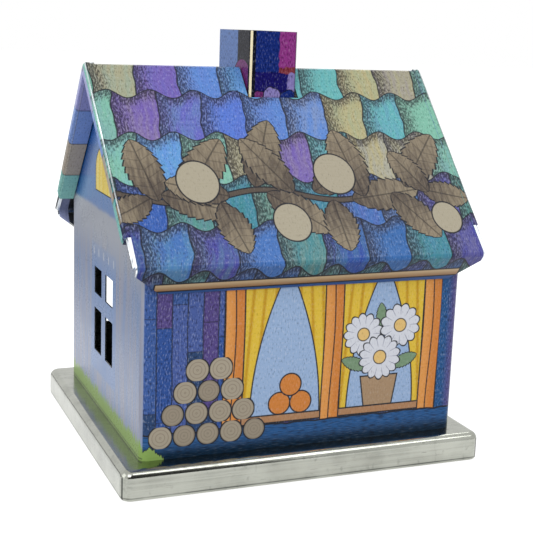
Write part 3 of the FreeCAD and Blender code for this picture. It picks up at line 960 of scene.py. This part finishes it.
# %% Attic and grass sizes
ATTIC_FADE = (68.0, 70.0)
ATTIC_WEIGHT = 0.8
EAVE_SHADE = paint(28, 82, 150)
EAVE_SHADE_REACH = (4.0, 12.0)
LAMP_YELLOW = paint(232, 204, 96)
LAMP_PALE = paint(240, 222, 140)
ATTIC_Y = 0.5
ATTIC_HALF = 9.5
ATTIC_SILL = 74.0
ATTIC_SPRING = 80.0
ATTIC_ARCH = 7.5
ARCH_OVERLAP = 1.0
FOOT_Z = 8.3
GRASS = paint(134, 164, 88)
GRASS_HEIGHT = 2.0
GRASS_EDGE = (-0.6, 0.8)
BLADE_WIDTH = 0.7
BLADE_LENGTH = 9.0
BLADE_SPREAD = 6.0
FOOT_LINE_Z = FOOT_Z + 0.5
FOOT_LINE = (0.4, 0.2)
FOOT_LINE_WEIGHT = 0.7
print("attic window", ATTIC_HALF * 2, "x", ATTIC_SPRING + ATTIC_ARCH - ATTIC_SILL, "mm")

# %% Gable drawing
def draw_ticks(ink, y, z):
    tick = (y / TICK_STEP + 0.5).part() * TICK_STEP - TICK_STEP / 2
    leaning = tick - (z - TICK_Z) * TICK_SLANT
    low, high = TICK_Z - TICK_HALF_HEIGHT, TICK_Z + TICK_HALF_HEIGHT
    marks = panel(leaning, z, -TICK_HALF_WIDTH, TICK_HALF_WIDTH, low, high)
    row = slab(y, -TICK_STEP * TICKS / 2, TICK_STEP * TICKS / 2)
    return lay(ink, PAPER, inside(marks) * inside(row))


def draw_attic(ink, y, z, streak):
    attic = z.rise(*ATTIC_FADE)
    ink = lay(ink, SURROUND, attic * ATTIC_WEIGHT)
    under_roof = (RIDGE_Z - z) * math.cos(PITCH) - abs(y) * math.sin(PITCH)
    ink = lay(ink, EAVE_SHADE, under_roof.fall(*EAVE_SHADE_REACH) * attic)
    arch = oval(y, z, ATTIC_Y, ATTIC_SPRING, ATTIC_HALF, ATTIC_ARCH)
    arch = arch.smaller(z - (ATTIC_SPRING - ARCH_OVERLAP))
    window = panel(y, z, ATTIC_Y - ATTIC_HALF, ATTIC_Y + ATTIC_HALF, ATTIC_SILL, ATTIC_SPRING).larger(arch)
    return stamp(ink, window, lay(LAMP_YELLOW, LAMP_PALE, streak), THIN_LINE)


def draw_grass(tree, ink, y, z):
    blades = noise(tree, point(tree, y / BLADE_WIDTH, z / BLADE_LENGTH), SMOOTH) * BLADE_SPREAD
    grass = FOOT_Z + GRASS_HEIGHT + blades - z
    ink = lay(ink, GRASS, grass.rise(*GRASS_EDGE))
    return lay(ink, INK, (z - FOOT_LINE_Z).line(*FOOT_LINE) * FOOT_LINE_WEIGHT)


def draw_gable(tree, y, z):
    streak = streaks(tree, y, z / WASH_STRETCH)
    ink = lay(WASH_BLUE, WASH_GREY, streak)
    surround = panel(y, z, -SURROUND_Y, SURROUND_Y, SURROUND_LOW, SURROUND_HIGH)
    ink = lay(ink, SURROUND, surround.rise(*SURROUND_SOFT) * SURROUND_WEIGHT)
    ink = draw_ticks(ink, y, z)
    level = z + noise(tree, point(tree, y / BAND_SWAY_LENGTH, BAND_LAYER), SMOOTH) * BAND_SWAY
    ink = lay(ink, BAND_PALE, level.rise(*BAND_IN) * level.fall(*BAND_OUT) * BAND_WEIGHT)
    ink = draw_attic(ink, y, z, streak)
    return draw_grass(tree, ink, y, z)


print("gable drawn with", TICKS, "ticks along the top of the surround")

# %% [markdown]
# ## Front wall
#
# The front has planks at the left, a wide window between orange posts with yellow curtains, a pot of
# flowers and some fruit on its sill, a pile of logs, and dark ground along the foot. The window could be
# modelled in relief, but on a tin box it is only ink. Each motif has a short function, and the last part
# lays them over each other in the order in which a sign painter would.

# %% Posts and curtains
POST_ORANGE = paint(206, 128, 58)
POST_LIGHT = paint(222, 152, 80)
POST_WIDTH = 5.6
POST_SHADE = (1.0, 4.6)
POST_WAVE = 0.5
POST_WAVE_LENGTH = 9.0
POST_EDGE_WAVE = 0.4
POST_GRAIN = 0.36
POST_INSIDE = (0.0, 0.2)
LEFT_POST = -24.6
MULLION = 4.72
RIGHT_POST = 35.8
WINDOW_RIGHT = RIGHT_POST + POST_WIDTH
CURTAIN_TUCK = 1.68
CURTAINS = ((LEFT_POST + POST_WIDTH, MULLION + CURTAIN_TUCK), (MULLION + POST_WIDTH, RIGHT_POST))
SILL_Z = 16.2
CURTAIN = paint(222, 188, 62)
CURTAIN_DEEP = paint(196, 150, 30)
CURTAIN_DROP = 38.0
CURTAIN_SPREAD = 8.0
CURTAIN_GATHER = 2.2
PLEAT_STEP = 0.95
PLEAT_LEAN = 2.5
PLEAT_SHADE = (0.1, 0.7)


def draw_post(ink, x, z, left):
    wave = (z / POST_WAVE_LENGTH).sine() * POST_WAVE
    gap = slab(x + wave * POST_EDGE_WAVE, left, left + POST_WIDTH)
    ink = stamp(ink, gap, lay(POST_LIGHT, POST_ORANGE, (x - left).rise(*POST_SHADE)))
    grain_line = (x + wave - left - POST_WIDTH / 2).line(POST_GRAIN, SOFT)
    return lay(ink, INK, grain_line * gap.rise(*POST_INSIDE))


def draw_curtains(ink, x, z, left, right):
    """A pair of curtains that hang apart, wider at the top than at the sill."""
    hang = (z - SILL_Z) / CURTAIN_DROP
    half = (right - left) / 2
    inward = half - abs(x - (left + half))
    drape = hang * hang * CURTAIN_SPREAD + CURTAIN_GATHER - inward
    drape = drape.smaller(inward).smaller(z - SILL_Z)
    pleat = abs((inward * PLEAT_STEP - hang * PLEAT_LEAN).sine())
    return stamp(ink, drape, lay(CURTAIN_DEEP, CURTAIN, pleat.rise(*PLEAT_SHADE)))


print("window", round(WINDOW_RIGHT - LEFT_POST, 1), "mm wide with", len(CURTAINS), "pairs of curtains")

# %% Pile of logs
LOG = 6.7
LOG_PITCH = LOG * 0.9
LOG_RADIUS = LOG * 0.47
LOG_THINNER = 0.3
LOG_ROWS = 4
LOG_COUNT = 5
LOG_LEFT = -45.4
LOG_FOOT = 11.4
LOG_LAYER = 7.0
LOG_PALE = paint(168, 158, 140)
LOG_DARK = paint(118, 106, 92)
LOG_SHADE = 0.5
LOG_OUTLINE = 0.4
RING_STEP = 6.0
RING_SPREAD = 2.0
RING_EDGE = (0.55, 1.0)
RING_WEIGHT = 0.55


def draw_logs(tree, ink, x, z):
    level = (z - LOG_FOOT) / LOG_PITCH
    row = level.floor()
    along = (x - LOG_LEFT) / LOG - row * 0.5
    column = along.floor()
    away = away_from((along.part() - 0.5) * LOG, (level.part() - 0.5) * LOG_PITCH)
    tone = chance(tree, point(tree, column, row, LOG_LAYER))
    stacked = row.between(-0.5, LOG_ROWS - 0.5, STEP) * column.rise(-0.5 - STEP, -0.5 + STEP)
    stacked = stacked * (row + column).fall(LOG_COUNT - 0.5 - STEP, LOG_COUNT - 0.5 + STEP)
    gap = LOG_RADIUS - away - tone * LOG_THINNER
    rings = (away * (tone * RING_SPREAD + RING_STEP)).sine().rise(*RING_EDGE)
    end = lay(lay(LOG_PALE, LOG_DARK, tone * LOG_SHADE), LOG_DARK, rings * RING_WEIGHT)
    ink = lay(ink, INK, stacked * inside(gap + LOG_OUTLINE))
    return lay(ink, end, stacked * inside(gap))


print("logs:", sum(LOG_COUNT - row for row in range(LOG_ROWS)))

# %% Ground
GROUND = paint(30, 84, 140)
GROUND_DEEP = paint(10, 38, 62)
GROUND_FADE = (FOOT_Z + 0.5, FOOT_Z + 5.0)
GROUND_PENCIL = (0.30, 0.8, 0.05)
STROKES_NARROWED = 1.4
STROKES_LENGTHENED = 2.4
GROUND_TOP = SILL_Z - 2.2
GROUND_LINE = 0.5
RIPPLE = 2.4
RIPPLE_LENGTH = 9.0
RIPPLE_LAYER = 2.0


def draw_ground(tree, ink, x, z):
    """A dark strip along the foot, drawn with level strokes and deepest at the bottom."""
    tone = lay(GROUND_DEEP, GROUND, z.rise(*GROUND_FADE))
    strip = draw_pencil(tree, tone, z * STROKES_NARROWED, x / STROKES_LENGTHENED, *GROUND_PENCIL)
    ripple = noise(tree, point(tree, x / RIPPLE_LENGTH, RIPPLE_LAYER)) * RIPPLE
    return stamp(ink, GROUND_TOP + ripple - z, strip, GROUND_LINE)


print("ground", round(GROUND_TOP - FOOT_Z, 1), "mm high")

# %% Things on the sill
SILL_FOOT = SILL_Z - 0.6
SILL_TOP = SILL_Z + 1.6
SILL_TAN = paint(172, 128, 92)
POT_TAN = paint(166, 138, 108)
POT_X = 22.5
POT_HALF = 4.2
POT_TOP = SILL_Z + 10.5
POT_TAPER = 0.16
PETAL = paint(214, 217, 226)
PETAL_SHADE = paint(132, 136, 158)
PETAL_SHADE_WEIGHT = 0.8
HEART = paint(226, 190, 120)
BLOOM_GREEN = paint(118, 146, 116)
# Each bloom: across, up, radius and petals. Each leaf is as in the garland.
BLOOMS = ((17.0, 39.0, 6.2, 13.0), (28.5, 41.0, 6.4, 12.0), (22.5, 32.0, 6.6, 14.0))
BLOOM_LEAVES = ((19.0, 29.0, 160.0, 9.0, 4.2), (26.0, 29.0, 20.0, 9.0, 4.2), (23.0, 38.0, 95.0, 10.0, 4.0))
ORANGES = ((-8.0, 21.0), (-1.6, 21.0), (-4.8, 26.2))
ORANGE_RADIUS = 3.2


def draw_flowers(tree, ink, x, z):
    for across, level, turn, length, width in BLOOM_LEAVES:
        shape = place_group(tree, LEAF, x, z, across, level, math.radians(turn), length, width)
        ink = stamp(ink, shape["Gap"], BLOOM_GREEN, THIN_LINE)
    side = (z - SILL_Z) * POT_TAPER + POT_HALF - abs(x - POT_X)
    ink = stamp(ink, side.smaller(slab(z, SILL_TOP, POT_TOP)), POT_TAN)
    for bloom in BLOOMS:
        shape = place_group(tree, BLOOM, x, z, *bloom)
        petals = lay(PETAL, PETAL_SHADE, shape["Crease"] * PETAL_SHADE_WEIGHT)
        ink = stamp(ink, shape["Gap"], petals)
        ink = stamp(ink, shape["Heart"], HEART, THIN_LINE)
    return ink


def draw_oranges(ink, x, z):
    for across, level in ORANGES:
        ink = stamp(ink, oval(x, z, across, level, ORANGE_RADIUS, ORANGE_RADIUS), POST_ORANGE)
    return ink


print("on the sill:", len(BLOOMS), "blooms and", len(ORANGES), "oranges")

# %% Front drawing
ROOM = paint(152, 178, 214)
ROOM_PENCIL = (0.08, 0.4)
WINDOW_TOP = 60.0
FRONT_PENCIL = (0.10, 0.4, 0.10)
EDGE_PURPLE = paint(82, 76, 136)
EDGE_FADE = (43.0, 46.0)
EDGE_STROKES = 0.25
EDGE_SOFT = 0.2
TUFT_X = -45.0
TUFT_HEIGHT = 2.4
TUFT_SLOPE = 0.9
TUFT_BLADE = 0.5
TUFT_SPREAD = 3.0
TUFT_LAYER = 3.0


def draw_tuft(tree, ink, x, z):
    blades = noise(tree, point(tree, x / TUFT_BLADE, TUFT_LAYER), SMOOTH) * TUFT_SPREAD
    tuft = FOOT_Z + TUFT_HEIGHT - abs(x - TUFT_X) * TUFT_SLOPE + blades - z
    return stamp(ink, tuft, GRASS, THIN_LINE)


def draw_window(tree, ink, x, z):
    room = draw_pencil(tree, ROOM, x, z, *ROOM_PENCIL)
    ink = stamp(ink, panel(x, z, LEFT_POST, WINDOW_RIGHT, SILL_Z, WINDOW_TOP), room)
    for left, right in CURTAINS:
        ink = draw_curtains(ink, x, z, left, right)
    ink = draw_flowers(tree, ink, x, z)
    ink = draw_oranges(ink, x, z)
    ink = stamp(ink, panel(x, z, LEFT_POST, WINDOW_RIGHT, SILL_FOOT, SILL_TOP), SILL_TAN)
    for left in (LEFT_POST, MULLION, RIGHT_POST):
        ink = draw_post(ink, x, z, left)
    return ink


def draw_front(tree, x, z):
    ink = draw_window(tree, place_group(tree, PLANKS, x, z)["Color"], x, z)
    ink = draw_pencil(tree, ink, x, z, *FRONT_PENCIL)
    edge = draw_pencil(tree, lay(GROUND, EDGE_PURPLE, x.rise(*EDGE_FADE)), x, z, EDGE_STROKES)
    ink = lay(ink, edge, x.rise(WINDOW_RIGHT, WINDOW_RIGHT + EDGE_SOFT))
    ink = draw_ground(tree, ink, x, z)
    ink = draw_logs(tree, ink, x, z)
    return draw_tuft(tree, ink, x, z)


print("front: window from", LEFT_POST, "to", round(WINDOW_RIGHT, 1), "mm, top at", WINDOW_TOP, "mm")

# %% [markdown]
# ## Back wall and the whole wall print
#
# The wall sheet is one strip, wrapped round and lapped at the back, so all four walls belong to one
# material. Separate materials would need faces to be picked on the mesh, which stays as the frame gives
# it. The direction that the sheet faces chooses between the gable, the front and the back, and the inner
# side of the sheet stays bare.

# %% Back drawing
BACK_WINDOW = -26.2
BACK_HALF = 14.2
BACK_LOW = 21.0
BACK_HIGH = 45.0
BACK_SHIFT = 300.0


def draw_back(tree, x, z):
    ink = place_group(tree, PLANKS, x + BACK_SHIFT, z)["Color"]
    surround = panel(x, z, BACK_WINDOW - BACK_HALF, BACK_WINDOW + BACK_HALF, BACK_LOW, BACK_HIGH)
    return draw_ground(tree, stamp(ink, surround, SURROUND), x, z)


print("back surround", BACK_HALF * 2, "x", BACK_HIGH - BACK_LOW, "mm")

# %% Wall print
FRONT_FACING = (-0.75, -0.65)
BACK_FACING = (0.65, 0.75)
WALL_SKIN = 3.0


def make_wall_print():
    material, tree, shader = new_finish("wall_print")
    x, y, z, nx, ny, _ = sheet_place(tree)
    ink = draw_gable(tree, y, z)
    ink = lay(ink, draw_front(tree, x, z), ny.fall(*FRONT_FACING))
    ink = lay(ink, draw_back(tree, x, z), ny.rise(*BACK_FACING))
    outward_x = nx * x.sign() * abs(x).past(WALL_X - WALL_SKIN)
    outward_y = ny * y.sign() * abs(y).past(WALL_Y - WALL_SKIN)
    finish_print(tree, shader, (x, y, z), ink, outward_x.larger(outward_y).rise(*FACING))
    return material


WALL_PRINT = make_wall_print()
print("made", WALL_PRINT.name, "with", len(WALL_PRINT.node_tree.nodes), "nodes")

# %% [markdown]
# ## Chimney print
#
# The chimney is drawn as a few stones in deep blue, indigo, magenta and lilac, and the large ones on its
# front have no outline. A texture of random cells would scatter stones over it, but so few are better
# placed one by one. The bend at the front left and the one across from it at the back carry a narrow
# cream line, which is a painted highlight.

# %% Chimney sizes
NAVY = paint(18, 42, 118)
INDIGO = paint(20, 16, 98)
MAGENTA = paint(142, 54, 132)
PLUM = paint(112, 44, 108)
RUST = paint(128, 52, 62)
LILAC = paint(136, 126, 186)
SKY = paint(98, 128, 184)
NIGHT = paint(10, 14, 30)
# Cream ink for the painted highlight down two bends of the chimney.
BEND_HIGHLIGHT = paint(246, 234, 196)
FLUE_X = 0.5
FLUE_Y = 5.8
FLUE_HALF_X = 7.35
FLUE_HALF_Y = 13.9
FLUE_GAUGE = 0.4
FLUE_SKIN = 2.0
# Each front stone: left, right, foot, top and ink. Each foot stone: middle, level, half sizes and ink.
FRONT_STONES = (
    (-9.0, 5.2, 98.0, 109.8, INDIGO), (4.9, 9.0, 98.0, 110.4, LILAC), (2.2, 9.0, 109.6, 123.0, RUST),
    (2.2, 9.0, 111.2, 123.0, MAGENTA))
FOOT_STONES = ((-4.0, 102.8, 2.2, 1.7, PLUM), (0.2, 103.0, 2.8, 2.3, LILAC), (5.4, 102.4, 2.6, 2.4, NAVY))
SIDE_STONE = (-1.4, 107.4, 7.0, 5.8)
print("chimney", FLUE_HALF_X * 2, "x", FLUE_HALF_Y * 2, "mm")
print("stones on its front:", len(FRONT_STONES + FOOT_STONES))

# %% Chimney print
STONE_SOFT = 0.2
STONE_LINE = 0.25
WOBBLE_SIZE = 2.5
WOBBLE_ACROSS = 1.2
WOBBLE_UP = 1.6
SIDE_STRIP = (2.3, 2.9)
FRONT_BEND_SHADE = (1.5, 1.8)
SIDE_BEND_SHADE = (1.5, 2.1)
SIDE_FACING = (0.60, 0.70)
BACK_RISE = 12.0
DIAGONAL = math.sqrt(0.5)
HIGHLIGHT_EDGE = (0.16, 0.22)
HIGHLIGHT_CORNERS = 0.1
CHIMNEY_PENCIL = (0.26, 0.8, 0.10)
CHIMNEY_GLOSS = 0.06


def draw_chimney_front(tree, x, z):
    wobble = noise(tree, point(tree, x / WOBBLE_SIZE, z / WOBBLE_SIZE), SMOOTH) - 0.5
    across = x + wobble * WOBBLE_ACROSS
    level = z - wobble * WOBBLE_UP
    ink = NAVY
    for *edges, colour in FRONT_STONES:
        ink = lay(ink, colour, panel(across, level, *edges).rise(-STONE_SOFT, STONE_SOFT))
    for *shape, colour in FOOT_STONES:
        ink = stamp(ink, oval(across, level, *shape), colour, STONE_LINE)
    return lay(ink, NIGHT, (x - FLUE_X + FLUE_HALF_X).fall(*FRONT_BEND_SHADE))


def draw_chimney_side(y, z):
    ink = lay(SKY, NIGHT, y.fall(*SIDE_STRIP))
    ink = stamp(ink, oval(y, z, *SIDE_STONE), PLUM, THIN_LINE)
    return lay(ink, NIGHT, (y - FLUE_Y + FLUE_HALF_Y).fall(*SIDE_BEND_SHADE))


def make_chimney_print():
    material, tree, shader = new_finish("chimney_print")
    x, y, z, nx, ny, _ = sheet_place(tree)
    front = draw_chimney_front(tree, x, z + ny.past(0.0) * BACK_RISE)
    ink = lay(front, draw_chimney_side(y, z), abs(nx).rise(*SIDE_FACING))
    ink = draw_pencil(tree, ink, x + y, z, *CHIMNEY_PENCIL)
    # Painted highlight: a cream line down the front-left and back-right bends.
    highlight = abs(abs(nx) - DIAGONAL).fall(*HIGHLIGHT_EDGE) * (nx * ny).past(HIGHLIGHT_CORNERS)
    ink = lay(ink, BEND_HIGHLIGHT, highlight)
    past_x = abs(x - FLUE_X) - FLUE_HALF_X + FLUE_GAUGE
    past_y = abs(y - FLUE_Y) - FLUE_HALF_Y + FLUE_GAUGE
    outward_x = nx * (x - FLUE_X).sign() * past_x.past(-FLUE_SKIN)
    outward_y = ny * (y - FLUE_Y).sign() * past_y.past(-FLUE_SKIN)
    printed = outward_x.larger(outward_y).rise(*FACING)
    finish_print(tree, shader, (x, y, z), ink, printed, gloss=CHIMNEY_GLOSS)
    return material


CHIMNEY_PRINT = make_chimney_print()
print("made", CHIMNEY_PRINT.name, "with", len(CHIMNEY_PRINT.node_tree.nodes), "nodes")

# %% [markdown]
# ## The finishes on the sheets
#
# The sheets come from the frame with plain materials. They could be copied and dressed as new pieces, but
# their shapes are right as they are, so only their material slots are filled again. The tray and its
# collar share the bare tin, because neither has any ink.

# %% Put the finishes on the sheets
FINISHES = {
    "base_tray": TINPLATE, "locating_collar": TINPLATE, "wall_sheet": WALL_PRINT,
    "roof_sheet": ROOF_PRINT, "chimney_tube": CHIMNEY_PRINT}
for node, finish in FINISHES.items():
    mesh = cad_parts[node].data
    mesh.materials.clear()
    mesh.materials.append(finish)
    print(node, "is finished in", finish.name)

# %% [markdown]
# ## Verge caps
#
# Each sloping edge of the roof is folded over into a narrow box, and the fold swells a little towards the
# ridge, where the sheet has to turn the corner. The box itself is in the frame. What is made here is its
# outer corner, as a thin cap. A curve with a round bevel could follow the edge, but folded tin has flat
# faces and tight bends. So one end of the cap is drawn as four points, extruded down the slope and drawn
# in at the far end, its edges are bevelled, and a mirror gives the other slope. A cut through the ridge
# first makes the two halves meet in a mitre, as the folded sheet does. A thinner bar, the bare bead, runs
# on from the foot of the cap to the eave.

# %% From bmesh to piece
def finish_mesh(bm, name, finish):
    """Makes an object of a bmesh, at the origin and with one finish."""
    mesh = bpy.data.meshes.new(name)
    bm.to_mesh(mesh)
    bm.free()
    mesh.materials.append(finish)
    piece = bpy.data.objects.new(name, mesh)
    scene.collection.objects.link(piece)
    return piece


print("sheets from the frame:", len(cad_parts))

# %% Bent bars
CAP_PROUD = 0.12
CAP_SEGMENTS = 5
MERGE = 0.001


def bend_edges(bm, edges, radius):
    rounded = bmesh.ops.bevel(
        bm, geom=edges, offset=radius, segments=CAP_SEGMENTS, profile=0.5, affect="EDGES", material=-1)
    for face in rounded["faces"]:
        face.smooth = True


def extrude_bar(bm, near, far, inner_x, near_x, far_x, depth):
    """A bar along the front slope, between two distances from the ridge. Returns its outer edges."""
    slope = Vector((0.0, -math.cos(PITCH), -math.sin(PITCH)))
    normal = Vector((0.0, -math.sin(PITCH), math.cos(PITCH)))
    start = Vector((0.0, 0.0, RIDGE_Z)) + normal * CAP_PROUD + slope * near
    corners = ((inner_x, 0.0), (near_x, 0.0), (near_x, depth), (inner_x, depth))
    verts = [bm.verts.new(start + Vector((x, 0.0, 0.0)) - normal * down) for x, down in corners]
    face = bm.faces.new(verts)
    grown = bmesh.ops.extrude_face_region(bm, geom=[face], use_keep_orig=True)["geom"]
    far_end = [item for item in grown if isinstance(item, bmesh.types.BMVert)]
    bmesh.ops.translate(bm, vec=slope * (far - near), verts=far_end)
    outer_end = [vert for vert in far_end if abs(vert.co.x - near_x) < MERGE]
    bmesh.ops.translate(bm, vec=(far_x - near_x, 0.0, 0.0), verts=outer_end)
    outer = set(verts[1:3] + outer_end)
    return [edge for edge in bm.edges if outer.issuperset(edge.verts)]


print("bars stand", CAP_PROUD, "mm proud, with bends of", CAP_SEGMENTS, "steps")

# %% Verge caps
CAP_DEPTH = 3.4
CAP_EAVE_X = 52.6
CAP_OVERRUN = 6.0
CAP_BEND = 0.95
BEAD_X = 51.9
BEAD_DEPTH = 1.1
BEAD_BEND = 0.5
BEAD_END = SLOPE - 1.0
RIDGE_SOFTENING = 0.9
FOLD = math.radians(30)
CAP_RIDGES = {"verge_cap_left": -53.9, "verge_cap_right": 53.2}


def everything(bm):
    return bm.verts[:] + bm.edges[:] + bm.faces[:]


def fold_front_half(bm, ridge_x):
    """A box that narrows down the front slope, and the bead that goes on from it."""
    side = math.copysign(1.0, ridge_x)
    eave_x = side * CAP_EAVE_X
    box = extrude_bar(bm, -CAP_OVERRUN, BOX_END, side * CAP_INNER_X, ridge_x, eave_x, CAP_DEPTH)
    bend_edges(bm, box, CAP_BEND)
    bead_start = BOX_END - CAP_BEND
    bead_x = side * BEAD_X
    bead = extrude_bar(bm, bead_start, BEAD_END, side * BEAD_INNER_X, bead_x, bead_x, BEAD_DEPTH)
    bend_edges(bm, bead, BEAD_BEND)


def mitre_at_ridge(bm):
    """Cuts the front half through the ridge, mirrors it and softens the fold between the halves."""
    bmesh.ops.bisect_plane(
        bm, geom=everything(bm), plane_co=(0, 0, 0), plane_no=(0, 1, 0), clear_outer=True)
    bmesh.ops.mirror(bm, geom=everything(bm), axis="Y", merge_dist=MERGE)
    bmesh.ops.remove_doubles(bm, verts=bm.verts, dist=MERGE)
    bmesh.ops.recalc_face_normals(bm, faces=bm.faces)
    mitre = [edge for edge in bm.edges if max(abs(vert.co.y) for vert in edge.verts) < MERGE]
    folded = [edge for edge in mitre if edge.calc_face_angle_signed() > FOLD]
    ridge = [edge for edge in folded if edge.verts[0].co.z > RIDGE_Z - CAP_BEND]
    bend_edges(bm, ridge, RIDGE_SOFTENING)


def make_verge_cap(name, ridge_x):
    bm = bmesh.new()
    fold_front_half(bm, ridge_x)
    mitre_at_ridge(bm)
    bmesh.ops.scale(bm, vec=(1 / MM, 1 / MM, 1 / MM), verts=bm.verts)
    cap = finish_mesh(bm, name, ROOF_PRINT)
    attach(cap, "house")
    return cap


for name, ridge_x in CAP_RIDGES.items():
    cap = make_verge_cap(name, ridge_x)
    print(name, [round(v * MM, 1) for v in cap.dimensions], "mm,", len(cap.data.polygons), "faces")

# %% [markdown]
# ## Floor
#
# The box stands on a plain white sweep. A floor that is only a shadow catcher would leave the tin nothing
# pale to mirror, so this one is a real pale surface, which keeps the shadow of the box. A glow of its own
# makes it white to look at. Light Path keeps that glow to rays that see the floor directly, in a
# reflection or through glass, so it sheds no light on the prints.

# %% Floor
FLOOR_GREY = 0.6
FLOOR_GLOW = 0.68
FLOOR_RADIUS = 4.0
FLOOR_SEGMENTS = 64
WHITE = grey(1.0)
BACKGROUND_RAYS = ("Is Camera Ray", "Is Glossy Ray", "Is Transmission Ray")


def seen_as_background(tree):
    """1 for rays that look at the background directly, in a reflection or through glass."""
    path = tree.nodes.new("ShaderNodeLightPath")
    direct, mirrored, through = [Signal(tree, path.outputs[name]) for name in BACKGROUND_RAYS]
    return direct.larger(mirrored).larger(through)


def make_floor_finish():
    material, tree, shader = new_finish("white_sweep")
    shader.inputs["Base Color"].default_value = grey(FLOOR_GREY)
    shader.inputs["Roughness"].default_value = 1.0
    shader.inputs["Emission Color"].default_value = WHITE
    feed(tree, shader.inputs["Emission Strength"], seen_as_background(tree) * FLOOR_GLOW)
    return material


def make_floor():
    bm = bmesh.new()
    bmesh.ops.create_circle(bm, cap_ends=True, segments=FLOOR_SEGMENTS, radius=FLOOR_RADIUS)
    floor = finish_mesh(bm, "floor", make_floor_finish())
    return floor


floor = make_floor()
print("floor", tuple(round(v, 2) for v in floor.dimensions), "m")

# %% [markdown]
# ## Dark cards
#
# Tin looks like tin only if it has something dark to reflect. Darker metal would not help, because it
# would be dark from every side. So there are black cards, as in a photographer's studio. One stands
# behind the camera. The other lies flat behind the box and to its left, where the gable would mirror the
# floor and lose its colour. Only reflections see the cards, and they take no light from the prints.

# %% Dark cards
CARD_GREY = 0.03
UPRIGHT = math.radians(90)
HIDDEN_FROM = ("camera", "diffuse", "transmission", "shadow")
# Each card: the place of its middle, its width, its height and its turn.
CARDS = {
    "front_card": ((-0.38, -1.5, 0.86), 2.0, 1.60, UPRIGHT),
    "rear_card": ((-0.48, 0.44, 0.0015), 0.80, 0.92, 0.0),
}


def make_card_finish():
    material, _, shader = new_finish("dark_card")
    shader.inputs["Base Color"].default_value = grey(CARD_GREY)
    shader.inputs["Roughness"].default_value = 1.0
    return material


def make_card(name, finish, place, width, height, turn):
    bm = bmesh.new()
    bmesh.ops.create_grid(bm, x_segments=1, y_segments=1, size=0.5)
    bmesh.ops.scale(bm, vec=(width, height, 1.0), verts=bm.verts)
    turned = Matrix.Translation(place) @ Matrix.Rotation(turn, 4, "X")
    bmesh.ops.transform(bm, matrix=turned, verts=bm.verts)
    card = finish_mesh(bm, name, finish)
    for rays in HIDDEN_FROM:
        setattr(card, "visible_" + rays, False)
    return card


card_finish = make_card_finish()
for name, (place, width, height, turn) in CARDS.items():
    card = make_card(name, card_finish, place, width, height, turn)
    print(name, tuple(round(v, 2) for v in card.dimensions), "m")

# %% [markdown]
# ## World
#
# White walls and a white ceiling fill in the shadows of a studio. They could be modelled, and one even
# white sky does the same. It lights the box at little more than half its strength, so that the lamps can
# still give it form, and rays that see it as the background find plain white.

# %% World
AMBIENT = 0.55


def make_world():
    world = bpy.data.worlds.new("studio")
    world.use_nodes = True
    tree = world.node_tree
    sky = tree.nodes["Background"]
    sky.inputs["Color"].default_value = WHITE
    feed(tree, sky.inputs["Strength"], seen_as_background(tree) * (1.0 - AMBIENT) + AMBIENT)
    return world


scene.world = make_world()
print("ambient light", AMBIENT)

# %% [markdown]
# ## Lights
#
# Four softboxes light the box: a strong one at the front left, one beside the left gable, and two weaker
# fills at the right and the back. Small lamps would draw hard shadows and bright dots on the tin, so each
# is a large square that faces the middle of the box.

# %% Lights
# Each light: its place, the side of its square and its power.
LIGHTS = {
    "key_softbox": ((-0.55, -0.85, 0.95), 0.7, 7.0),
    "left_softbox": ((-1.05, 0.10, 0.45), 0.8, 2.5),
    "right_fill": ((0.52, -0.67, 1.15), 0.5, 2.6),
    "rear_fill": ((0.45, 0.75, 1.20), 0.7, 4.5),
}


def make_light(name, place, size, power):
    data = bpy.data.lights.new(name, "AREA")
    data.size = size
    data.energy = power
    light = bpy.data.objects.new(name, data)
    aim = (Vector(place) - TARGET).to_track_quat("Z", "Y").to_matrix().to_4x4()
    light.matrix_world = Matrix.Translation(place) @ aim
    scene.collection.objects.link(light)


for name, (place, size, power) in LIGHTS.items():
    make_light(name, place, size, power)
    print(name, power, "W")

# %% [markdown]
